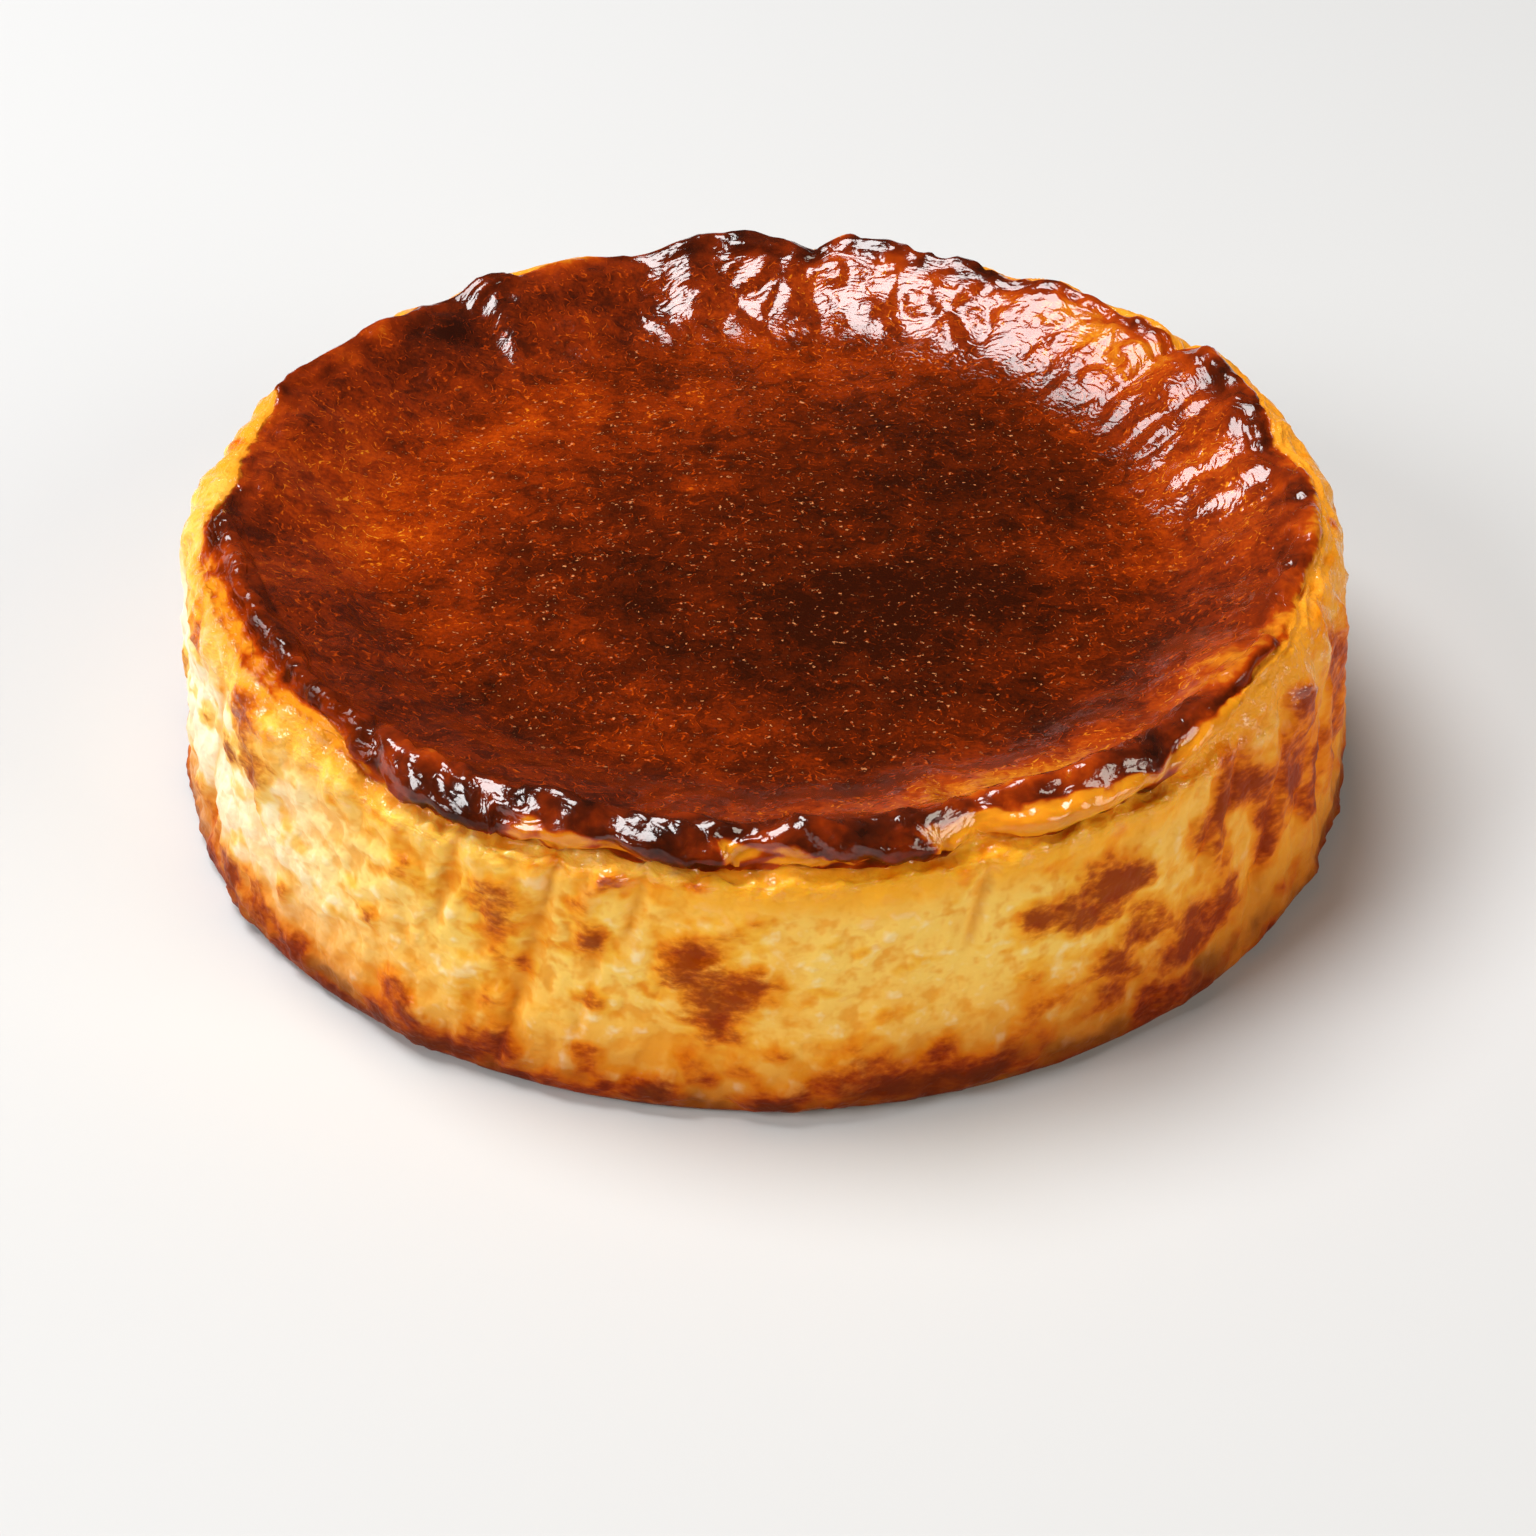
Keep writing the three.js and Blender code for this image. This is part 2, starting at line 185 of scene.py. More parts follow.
# Fineness: columns round the cake, rows between stations, and rows across the basin and the underside
COLUMNS = 896
ROWS_BETWEEN = (2, 3, 13, 14, 9, 6, 7, 7, 9, 9, 10, 8, 5)
BASIN_HALVINGS = ((448, 7), (224, 6), (112, 5), (56, 4), (28, 3), (14, 2))
UNDERSIDE_HALVINGS = (14, 56, 224, 448)
UNDERSIDE_REACH = 0.93


def turn_step(turn, at):
    """Signed step from one turn to another, between -180 and 180 degrees."""
    return (turn - at + 180) % 360 - 180


def smooth(value, low, high):
    """0 below low, 1 above high, and a smooth ramp between them."""
    share = np.clip((value - low) / (high - low), 0, 1)
    return share * share * (3 - 2 * share)


def bell(turn, at, width):
    """1 at a feature's own turn, falling smoothly to 0 beyond its width."""
    return np.exp(-((turn_step(turn, at) / width) ** 2))


def bells(turn, features):
    """The sum of features given as turn, width and amount."""
    return sum(amount * bell(turn, at, width) for at, width, amount in features)


def along(turn, first, last, soft):
    """1 along a run of turns, with soft ends."""
    half = ((last - first) % 360) / 2
    away = np.abs(turn_step(turn, first + half))
    return 1 - smooth(away, half - soft, half + soft)


def waves(turn, parts):
    """The sum of waves given as lobes, size and lag."""
    return sum(size * np.cos(np.radians(lobes * turn - lag)) for lobes, size, lag in parts)


def wall_radius(height):
    """Radius of the wall before any crease, at a height."""
    return BASE_RADIUS - WALL_LEAN * height


def crease_share(turn, height, crease, narrowed=1):
    """How far a place lies within one crease of the wall, from 0 to 1."""
    at, width, _, low, high = crease
    inside = smooth(height, low - CREASE_END, low) * (1 - smooth(height, high, high + CREASE_END))
    return bell(turn, at + CREASE_LEAN * (height - CREASE_MIDDLE), narrowed * width) * inside


def wall_relief(turn, height):
    """How far the wall stands out at one place, from its lobes, ripples and creases."""
    relief = waves(turn, WALL_LOBES)
    phase = RIPPLE_SLANT * height + waves(turn, RIPPLE_WANDER)
    gathered = 0.3 + 0.7 * smooth(height, *RIPPLE_RISE)
    for first, last, soft, lobes, size in WALL_RIPPLES:
        ripple = np.cos(np.radians(lobes * turn + phase))
        relief = relief + size * gathered * along(turn, first, last, soft) * ripple
    for crease in WALL_CREASES:
        relief = relief - crease[2] * crease_share(turn, height, crease)
    return smooth(height, 0, FOOT_ROUND * 3) * relief


def slope_relief(turn, radius):
    """How far the skin of the inner slope stands up at one place."""
    gathers = 0
    for lobes, size, lag, twist in SLOPE_GATHERS:
        gathers = gathers + size * np.cos(np.radians(lobes * turn - lag + twist * (BASE_RADIUS - radius)))
    return gathers * (1 + GATHERED_MORE * along(turn, *GATHERED_SKIN))


def strand_at(turn, station, strands=STRANDS):
    """How much of a strand runs through each place, and how many stations inside its middle the place is."""
    ridge = np.zeros(np.broadcast(turn, station).shape)
    weight = ridge + 0.001
    away = weight * (station - STRAND_MIDDLE)
    outer, inner = STRAND_REACHES
    for first, last, first_station, last_station in strands:
        share = np.clip(turn_step(turn, first) / (last - first), 0, 1)
        offset = station - first_station - (last_station - first_station) * share
        reach = np.where(offset < 0, outer, inner)
        present = along(turn, first + STRAND_END, last - STRAND_END, STRAND_END)
        height = present * np.exp(-((offset / reach) ** 2))
        weight = weight + height**4
        away = away + height**4 * offset
        ridge = np.maximum(ridge, height)
    return ridge, away / weight


def profile(turn):
    """The points of the profile at each turn, as an array of stations, turns and (radius, height)."""
    fold = bells(turn, RIM_FOLDS)
    drip = bells(turn, LIP_DRIPS)
    drape = along(turn, *FRONT_DRAPE)
    roll = along(turn, *ROLL_RUN)
    wander = waves(turn, CREST_WANDER)
    hem = waves(turn, HEM_WAVES)
    crest_radius = BASE_RADIUS - CREST_INSET + bells(turn, CREST_SHIFTS) + wander - FOLD_PULL[0] * fold
    crest_height = RIM_HEIGHT + bells(turn, CREST_LIFTS) + waves(turn, CREST_WAVES) - FOLD_PULL[1] * fold

    def draped(free, hung):
        return free + (hung - free) * drape

    free_lip = 0.55 * crest_radius + 0.45 * SHOULDER_RADIUS
    lip_radius = draped(free_lip, DRAPE_LIP[0] - 0.5 * fold + 0.5 * wander)
    lip_height = draped(crest_height - LIP_DROP, DRAPE_LIP[1] - 0.4 * drip + 0.4 * hem)
    tuck_radius = draped(SHOULDER_RADIUS, DRAPE_TUCK[0] - DRIP_DEPTH * drip)
    tuck_height = draped(crest_height - TUCK_DROP, DRAPE_TUCK[1] - drip + hem)
    points = (
        (BASE_RADIUS - FOOT_INSET, 0),
        (BASE_RADIUS - HEEL_INSET, 0.3 * FOOT_ROUND),
        (BASE_RADIUS, FOOT_ROUND),
        *((wall_radius(height), height) for height in (*WALL_HEIGHTS, LEDGE_HEIGHT)),
        (tuck_radius, tuck_height),
        (lip_radius, lip_height),
        (crest_radius, crest_height),
        (crest_radius - BRINK_STEP[0] + ROLL_DROP * roll, crest_height - BRINK_STEP[1] - ROLL_DROP * roll),
        (crest_radius - SLOPE_STEP[0], crest_height - SLOPE_STEP[1]),
        (crest_radius - TOE_STEP[0], BASIN_HEIGHT + TOE_STEP[1]),
        (BASE_RADIUS - CREST_INSET - SLOPE_WIDTH, BASIN_HEIGHT + FLOOR_STEP),
    )
    level = np.zeros_like(turn)
    return np.array([[radius + level, height + level] for radius, height in points]).transpose(0, 2, 1)


def spline(points, station):
    """A point of the centripetal spline through the profile's points, at one station."""
    first = min(int(station), FLOOR - 1)
    share = station - first
    before = points[first - 1] if first > 0 else 2 * points[0] - points[1]
    after = points[first + 2] if first + 2 <= FLOOR else 2 * points[FLOOR] - points[FLOOR - 1]
    here, there = points[first], points[first + 1]

    def step(start, end):
        return np.maximum(np.linalg.norm(end - start, axis=1, keepdims=True) ** 0.5, 1e-4)

    lead, span, trail = step(before, here), step(here, there), step(there, after)
    leave = ((here - before) / lead - (there - before) / (lead + span) + (there - here) / span) * span
    arrive = ((there - here) / span - (after - here) / (span + trail) + (after - there) / trail) * span
    cubic = 2 * here - 2 * there + leave + arrive
    square = -3 * here + 3 * there - 2 * leave - arrive
    return here + leave * share + square * share**2 + cubic * share**3


def basin_height(x, y):
    """Height of the basin's floor, which swells a little."""
    size, across, across_lag, lengthwise, lengthwise_lag = BASIN_SWELL
    return BASIN_HEIGHT + size * np.cos(x / across + across_lag) * np.cos(y / lengthwise + lengthwise_lag)


def skin_row(station, columns):
    """One row of the skin: its points and turns. Below station 0 is the underside, above FLOOR the basin."""
    turn = np.arange(columns) * 360 / columns
    points = profile(turn)
    height = np.zeros(columns)
    if station < 0:
        radius = points[0][:, 0] * (1 + station)
    elif station >= FLOOR:
        radius = points[FLOOR][:, 0] * (FLOOR + 1 - station)
    else:
        radius, height = spline(points, station).T
        on_wall = smooth(station, HEEL, WALL_START) * (1 - smooth(station, LEDGE, CREST))
        on_slope = smooth(station, CREST, SLOPE) * (1 - smooth(station, SLOPE, FLOOR))
        radius = radius + on_wall * wall_relief(turn, height)
        height = height + on_slope * slope_relief(turn, radius)
        on_lip = smooth(station, LEDGE + 0.4, TUCK + 0.3) * (1 - smooth(station, CREST + 0.4, BRINK))
        ridge = strand_at(turn, station, STRANDS + FLESH_STRANDS)[0]
        push = STRAND_RISE * on_lip * (ridge - STRAND_SUNK)
        facing = np.radians(STRAND_FACING * np.clip(station - TUCK, 0, BRINK - TUCK))
        radius = radius + push * np.cos(facing)
        height = height + push * np.sin(facing)
    x = radius * np.cos(np.radians(turn))
    y = radius * np.sin(np.radians(turn))
    height = height + smooth(station, SLOPE, FLOOR) * (basin_height(x, y) - height)
    return np.stack([x, y, height], axis=1), turn


def skin_stations():
    """The rows of the mesh as (station, columns), from the underside to the middle of the basin."""
    rows = []
    for step, columns in enumerate(UNDERSIDE_HALVINGS):
        rows.append((UNDERSIDE_REACH * ((step + 1) / len(UNDERSIDE_HALVINGS)) ** 0.5 - 1, columns))
    for first, count in enumerate(ROWS_BETWEEN):
        rows.extend((first + step / count, COLUMNS) for step in range(count))
    basin_rows = sum(count for _, count in BASIN_HALVINGS)
    done = 0
    for columns, count in BASIN_HALVINGS:
        rows.extend((FLOOR + (done + step) / basin_rows, columns) for step in range(count))
        done += count
    return rows


def joined(lower, upper):
    """Faces between two neighbouring rows, each given as (first vertex, columns)."""
    (low, low_count), (high, high_count) = lower, upper
    faces = []
    fine = max(low_count, high_count)
    ratio = fine // min(low_count, high_count)
    for column in range(fine // ratio):
        following = (column + 1) % (fine // ratio)
        if ratio == 1:
            faces.append((low + column, low + following, high + following, high + column))
        elif low_count > high_count:
            ring = [low + (ratio * column + step) % low_count for step in range(ratio + 1)]
            faces.append((*ring, high + following, high + column))
        else:
            ring = [high + (ratio * column + step) % high_count for step in range(ratio, -1, -1)]
            faces.append((low + column, low + following, *ring))
    return faces


def skin_mesh():
    """The cake's closed skin before its fine relief, with the place, turn and station of each point."""
    points = [np.zeros((1, 3))]
    turns = [np.zeros(1)]
    stations = [np.full(1, -1.0)]
    faces = []
    rows = []
    total = 1
    for station, columns in skin_stations():
        row, turn = skin_row(station, columns)
        points.append(row)
        turns.append(turn)
        stations.append(np.full(columns, float(station)))
        rows.append((total, columns))
        total += columns
    points.append(np.array([[0, 0, basin_height(0, 0)]]))
    turns.append(np.zeros(1))
    stations.append(np.full(1, FLOOR + 1.0))
    for lower, upper in zip(rows, rows[1:]):
        faces.extend(joined(lower, upper))
    first, count = rows[0]
    faces.extend((0, first + (column + 1) % count, first + column) for column in range(count))
    last, count = rows[-1]
    faces.extend((last + column, last + (column + 1) % count, total) for column in range(count))
    mesh = bpy.data.meshes.new("cheesecake_skin")
    skin = np.concatenate(points)
    mesh.from_pydata(skin * MM, [], faces)
    mesh.polygons.foreach_set("use_smooth", np.ones(len(mesh.polygons), bool))
    return mesh, skin, np.concatenate(turns), np.concatenate(stations)


# Station where the crust begins, and runs where it begins elsewhere: first and last turn, soft end, station
CRUST_EDGE = 8.6
EDGE_RUNS = ((186, 229, 9, 7.1), (228, 316, 7, 7.15), (316, 334, 6, 8.1), (125, 158, 8, 8.3))

# Gaps in the edge of the crust: turn, width, rise in stations
EDGE_GAPS = (
    (251, 2.2, 0.25), (272.5, 1.6, 0.25), (288.2, 1.2, 0.8), (312, 2, 0.5), (180, 5, 0.5), (170, 6, 0.4),
)

# Mahogany runs of the rim: first and last turn, soft end, strength
DARK_RIM = (
    (186, 232, 6, 0.1), (236, 268, 4, 0.3), (268, 290, 4, 0.15), (289, 309, 3, 0.2), (309, 332, 5, 0.2),
    (332, 362, 6, 0.4), (10, 32, 3, 1.0), (33, 60, 4, 0.5), (60, 108, 5, 1.0), (108, 182, 6, 0.2),
    (122, 133, 3, 0.75),
)
DARK_RIM_MIDDLE = 8.75
DARK_RIM_REACH = 0.8

# Dark tongues and arches of the rim: turn, station, half width in degrees, half width in stations, strength
DARK_TONGUES = (
    (266, 7.4, 3.5, 0.4, 0.5), (296, 7.15, 4, 0.15, 0.5), (307, 7.5, 2, 0.4, 0.6),
    (325, 8.5, 4, 0.25, 0.5), (242.5, 9.6, 3, 0.4, 0.4), (255, 9.55, 4, 0.35, 0.4),
    (282, 7.2, 4, 0.15, 0.3), (134, 10.2, 3.5, 0.8, 0.8),
)

# Run where the rim has lower folds, and how much lower: first and last turn, soft end
PLAIN_RIM = (100, 184, 8)
PLAIN_LESS = 0.55

# Run where its skin is more crumpled, and how much more: first and last turn, soft end
CRUMPLED_RIM = (184, 228, 8)
CRUMPLED_MORE = 2.0

# Run where amber flesh shows between the strands: first and last turn, soft end, first and last station
AMBER_FLESH = (247, 320, 3, 7.45, 8.9)

# Translucent amber skin: turn, station, half width in degrees, half width in stations, strength
AMBER_SKIN = (
    (43, 10.1, 16, 1.1, 0.9), (72, 10.4, 22, 0.9, 0.3), (5, 10.8, 26, 1.0, 0.3),
    (205, 7.6, 20, 0.35, 0.85), (226, 7.5, 8, 0.3, 0.75), (240, 7.3, 5, 0.3, 0.6),
    (115, 9.0, 4, 0.7, 0.8), (283, 10.7, 20, 0.5, 0.42), (325, 9.0, 9, 0.6, 0.6),
    (300, 10.2, 16, 0.8, 0.7), (322, 10.2, 10, 0.8, 0.45), (345, 8.9, 12, 0.6, 0.4),
    (150, 9.2, 24, 0.6, 0.3),
)

# Side where the wall is warmer and darker, partly its own tone and partly painted shade: first and last turn,
# soft end
WARM_SIDE = (312, 112, 20)

# Run behind at the left where only the shoulder is as warm: first and last turn, soft end
RIPE_SHOULDER = (100, 182, 12)

# Runs where the wall is painted paler and palest: first and last turn, soft end
PALE_SIDE = (172, 226, 20)
PALEST_SIDE = (150, 222, 14)

# Run where the ledge under the rim is milky, not golden: first and last turn, soft end
MILKY_LEDGE = (178, 262, 8)

# How lumpy the wall is: the least, two runs with more of it, and the heights where it fades upwards
LUMPY_LEAST = 0.5
LUMPY_SIDE = (186, 268, 12)
LUMPY_BACK = (320, 190, 14)
LUMPY_HEIGHTS = (8, 24)

# Darker and paler places of the top: x, y, radius, amount
TOP_SPOTS = (
    (36, -6, 32, 0.21), (24, -34, 24, 0.12), (4, 54, 16, -0.04), (38, 34, 26, 0.15), (0, -24, 34, 0.14),
    (-50, 44, 26, -0.17), (-74, 16, 20, -0.12), (-60, -20, 24, 0.06), (80, -5, 16, -0.06),
    (84, -30, 14, -0.08), (-68, 70, 18, 0.20), (-92, 10, 18, -0.12), (-84, -16, 16, -0.14),
    (-74, 0, 44, -0.04), (-25, -80, 22, -0.13), (84, 14, 20, -0.14), (8, 86, 26, -0.16),
    (0, -62, 30, 0.045),
)

# Browned patches of the wall: turn, height, half width in degrees, half height, strength
WALL_PATCHES = (
    (200.5, 48, 2.6, 4, 0.8), (202, 33, 1.5, 3.5, 0.5), (210.2, 33.5, 1.8, 4, 0.8),
    (215.5, 48, 3.2, 5, 0.9), (216.5, 37, 3.2, 5.5, 0.78), (206, 8, 6, 6, 0.5), (211.5, 8, 2.2, 4, 0.7),
    (217, 7, 2.6, 4, 0.8), (223, 5, 3.5, 3, 0.6), (221, 16, 1.3, 3, 0.6), (233.8, 25, 1.2, 2.6, 0.65),
    (233.3, 34, 0.8, 1.5, 0.5), (238.5, 39, 2, 4, 0.4), (236.3, 13.5, 1.5, 3.2, 0.65),
    (234.5, 5, 2, 4.5, 1.0), (239, 4, 2, 3, 0.8), (243, 4.5, 3, 3, 0.8), (246, 14, 2.5, 4.5, 0.55),
    (247, 8, 1.5, 5, 0.5), (246.6, 40, 2.2, 4, 0.45), (247, 34, 3, 4.5, 0.68), (249, 26, 0.8, 2, 0.55),
    (255.3, 41, 2.2, 5, 0.6), (255.4, 34, 1.3, 2.6, 0.75), (255.5, 21, 1, 3, 0.45),
    (257.2, 46.2, 0.9, 0.9, 0.55), (264.8, 46, 1, 0.9, 0.7), (265.5, 29, 3.2, 5.5, 0.85),
    (268.5, 26.5, 2.8, 3, 0.75), (264.5, 34, 2, 3, 0.6), (266, 20, 2.4, 3.5, 0.75),
    (260.5, 5, 2.8, 3.2, 1.0), (267.5, 10.5, 1.5, 1.5, 0.6), (271, 13.5, 2, 1.8, 0.6),
    (271, 3.5, 2.8, 2.8, 1.0), (282, 6, 3.5, 3, 1.0), (285, 11, 1.5, 2, 0.7), (289.3, 5, 3.2, 3.5, 1.0),
    (293.5, 15, 1.9, 3.6, 0.85), (293, 34.5, 1.4, 2.6, 0.8), (297, 33.5, 2.4, 3.5, 0.75),
    (301.5, 34, 2.6, 5.5, 0.95), (304.7, 33.5, 1.8, 2.5, 0.75), (297.5, 29, 2, 2.5, 0.5),
    (305.5, 22.5, 2.4, 3, 0.85), (302, 17, 2.5, 4.5, 0.85), (301, 11.5, 2, 2.5, 0.6),
    (308.5, 14, 2.2, 3, 0.85), (312, 19, 2.5, 4, 0.8), (316, 16.5, 2.2, 4, 0.9),
    (313, 13.5, 2.5, 2.5, 0.6), (312, 33.5, 1.6, 3.2, 0.8), (315.5, 36, 1.5, 5.5, 0.95),
    (316, 43, 1.4, 4, 0.7), (320.5, 36.5, 2.6, 4, 0.95), (318.5, 41, 1.5, 3, 0.5),
    (322.8, 27, 1.6, 4, 0.85), (323.5, 20, 1.6, 4, 0.8), (327, 35, 2.4, 4.5, 0.95),
    (328, 28, 2.2, 4, 0.8), (329, 45, 2.4, 3.5, 0.85), (330.5, 39, 1.5, 1.5, 0.7),
    (333, 29, 1.8, 5, 0.95), (331, 20, 2.2, 4, 0.9), (339, 42, 2.5, 6, 0.8), (343, 36, 3, 8, 0.7),
    (339, 22, 3, 7, 0.6), (277, 9, 4, 3.5, 0.65),
)

# Height up to which the foot is browned, and heights over which the golden tone above it fades; that tone,
# deeper towards the bottom, is partly browning and partly painted shade
FOOT_BROWNED = 16
LOW_HEIGHTS = (2, 30)

# A patch and the halo round it: how far each spreads, and its share
PATCH_RINGS = ((1.0, 0.68), (1.75, 0.3))

# How browning tints the custard: browned share, tint
BROWNING = (
    (0.02, (1, 1, 1)), (0.2, (0.96, 0.79, 0.38)), (0.4, (0.89, 0.56, 0.14)), (0.6, (0.66, 0.295, 0.055)),
    (0.8, (0.47, 0.155, 0.025)), (1.0, (0.32, 0.085, 0.012)),
)

# Run where the foot is singed higher up, partly browning and partly painted shade: first and last turn, soft
# end, and how high there and elsewhere
SINGED_RUN = (280, 180, 12)
SINGED_HEIGHT = 22
SINGED_ELSEWHERE = 17

# Drawn patches of the wall behind: how many, first and last turn, seed, and ranges of their measures
BACK_PATCHES = 24
BACK_RUN = (344, 196)
BACK_SEED = 11
BACK_RANGES = ((6, 44), (1.5, 5), (4, 9), (0.5, 0.9))

# Wrinkled, puffed skin of the slope: first and last turn, soft end, and the share of it elsewhere
PUFFED_SKIN = (2, 106, 14)
PUFFED_ELSEWHERE = 0.35

# Duller skin of the slope (turn, half width in degrees), how much duller it is, and the shine of the wall
DULLER_SKIN = (30, 28)
DULLER_LESS = 0.35
LEAST_SHINE = 0.04

# The skin is laid out flat for its patterns: radius that it wraps round, and length of one station
WRAP_RADIUS = 105
STATION_LENGTH = 5


def spots(turn, level, features):
    """The sum of soft spots given as turn, level, their two half widths and an amount."""
    total = 0
    for at, middle, width, reach, amount in features:
        total = total + amount * bell(turn, at, width) * np.exp(-(((level - middle) / reach) ** 2))
    return total


def back_patches():
    """Browned patches for the part of the wall behind, drawn with a fixed seed."""
    draw = np.random.default_rng(BACK_SEED)
    first, last = BACK_RUN
    patches = []
    for step in range(BACK_PATCHES):
        turn = first + (step + draw.uniform(0, 1)) * ((last - first) % 360) / BACK_PATCHES
        patches.append((turn, *(draw.uniform(low, high) for low, high in BACK_RANGES)))
    return tuple(patches)


def wall_browning(turn, height):
    """How browned the wall is by its patches, from 0 to 1."""
    patches = WALL_PATCHES + back_patches()
    browned = 0
    for spread, gain in PATCH_RINGS:
        ring = [(at, middle, spread * width, spread * reach, gain * amount)
                for at, middle, width, reach, amount in patches]
        browned = browned + spots(turn, height, ring)
    return np.clip(browned, 0, 1)


def crease_lines(turn, height):
    """1 along the upright creases of the wall, falling to 0 beside them."""
    lines = 0
    for crease in WALL_CREASES:
        lines = lines + min(crease[2], 1) * crease_share(turn, height, crease, CREASE_LINE)
    return np.clip(lines, 0, 1)


def profile_climb(turn, station):
    """Length along the profile from the edge of the underside to a station, in millimetres."""
    steps = np.linalg.norm(np.diff(profile(turn), axis=0), axis=2)
    whole = np.clip(station.astype(int), 0, FLOOR - 1)
    column = np.arange(len(turn))
    start = np.cumsum(steps, axis=0)[whole, column] - steps[whole, column]
    return start + np.clip(station - whole, 0, 1) * steps[whole, column]


def rim_paint(turn, station, strand):
    """Values that steer the colours of the burnt rim."""
    fleshy = along(turn, *AMBER_FLESH[:3])
    low, high = AMBER_FLESH[3:]
    flesh = fleshy * smooth(station, low, low + 0.25) * (1 - smooth(station, high - 0.7, high))
    flesh = flesh * (1 - smooth(strand, 0.05, 0.9))
    runs = [strength * along(turn, first, last, soft) for first, last, soft, strength in DARK_RIM]
    dark_run = np.maximum.reduce(runs)
    dark_strand = smooth(strand, 0.1 + 0.3 * fleshy, 0.7 + 0.1 * fleshy)
    rim = dark_run * np.exp(-(((station - DARK_RIM_MIDDLE) / DARK_RIM_REACH) ** 2))
    rim = np.maximum(rim, dark_run * dark_strand) * (1 - flesh)
    tongues = spots(turn, station, DARK_TONGUES)
    return {
        "rim": np.clip(rim + tongues, 0, 1),
        "amber": np.clip(spots(turn, station, AMBER_SKIN) - tongues, 0, 1),
        "flesh": np.clip(flesh - tongues, 0, 1),
    }


def top_paint(x, y, turn, station):
    """Values that steer the edge, the gloss and the tones of the crust."""
    edge = CRUST_EDGE + bells(turn, EDGE_GAPS)
    for first, last, soft, reached in EDGE_RUNS:
        edge = edge + (reached - CRUST_EDGE) * along(turn, first, last, soft)
    shine_start = LIP + 0.4 - 0.8 * along(turn, *FRONT_DRAPE)
    glossy = smooth(station, shine_start, shine_start + 0.9) * (1 - DULLER_LESS * bell(turn, *DULLER_SKIN))
    tones = 0
    for at_x, at_y, reach, amount in TOP_SPOTS:
        tones = tones + amount * np.exp(-((x - at_x) ** 2 + (y - at_y) ** 2) / reach**2)
    puffed = PUFFED_ELSEWHERE + (1 - PUFFED_ELSEWHERE) * along(turn, *PUFFED_SKIN)
    return {
        "crust": station - edge,
        "shine": LEAST_SHINE + (1 - LEAST_SHINE) * glossy,
        "tone": tones * smooth(station, CREST, BRINK),
        "crumpled": 1 + CRUMPLED_MORE * along(turn, *CRUMPLED_RIM),
        "skin": smooth(station, CREST - 0.3, BRINK) * (1 - smooth(station, SLOPE + 0.6, FLOOR)) * puffed,
        "basin": smooth(station, SLOPE, FLOOR),
    }


def wall_paint(turn, height, station, wall):
    """Values that steer the lumps, the tones, the browning and the painted shade of the wall."""
    shelf = smooth(station, LEDGE - 0.8, LEDGE) * (1 - smooth(station, LIP, CREST))
    lumpy = np.maximum(along(turn, *LUMPY_SIDE), 0.3 * along(turn, *LUMPY_BACK))
    lumpy = np.maximum(lumpy, 0.5 * (1 - smooth(height, *LUMPY_HEIGHTS)))
    pale = 0.5 * along(turn, *PALE_SIDE) + 0.5 * along(turn, *PALEST_SIDE)
    warm = along(turn, *WARM_SIDE)
    singed_run = along(turn, *SINGED_RUN)
    singed = SINGED_ELSEWHERE + (SINGED_HEIGHT - SINGED_ELSEWHERE) * singed_run
    return {
        "shelf": shelf,
        "ledge": shelf * along(turn, *FRONT_DRAPE),
        "lumpy": LUMPY_LEAST + (1 - LUMPY_LEAST) * lumpy,
        "pale": pale * (1 - smooth(station, LEDGE - 1.5, LEDGE + 0.3)),
        "milky": along(turn, *MILKY_LEDGE),
        "warm": warm,
        "ripe": np.maximum(warm, along(turn, *RIPE_SHOULDER)),
        "scorch": wall_browning(turn, height) * wall,
        "foot": np.clip(1 - height / FOOT_BROWNED, 0, 1),
        # Deeper golden towards the bottom: partly browning, partly painted shade
        "low": (1 - smooth(height, *LOW_HEIGHTS)) * (0.9 + 0.1 * singed_run),
        # Tan and scorch towards the foot: partly browning, partly painted shade
        "singe": 1 - smooth(height, 0, singed),
        "crease": crease_lines(turn, height) * wall,
    }


def skin_paint(points, turn, station):
    """Values at every point that steer the fine relief and the colours, by attribute name."""
    x, y, height = points.T
    wall = smooth(station, HEEL, WALL_START) * (1 - smooth(station, LEDGE + 0.3, LIP))
    lip = smooth(station, LEDGE + 0.4, LIP - 0.2) * (1 - smooth(station, CREST + 0.2, BRINK + 0.4))
    lip = lip * (1 - PLAIN_LESS * along(turn, *PLAIN_RIM))
    strand, away = strand_at(turn, station)
    wrap_x = WRAP_RADIUS * np.cos(np.radians(turn))
    wrap_y = WRAP_RADIUS * np.sin(np.radians(turn))
    climb = profile_climb(turn, station)
    braid = climb + STATION_LENGTH * lip * (away - station + STRAND_MIDDLE)
    return {
        "wrap": np.stack([wrap_x, wrap_y, climb], axis=1) * MM,
        "braid": np.stack([wrap_x, wrap_y, braid], axis=1) * MM,
        "wall": wall,
        "lip": lip,
        **rim_paint(turn, station, strand),
        **top_paint(x, y, turn, station),
        **wall_paint(turn, height, station, wall),
    }


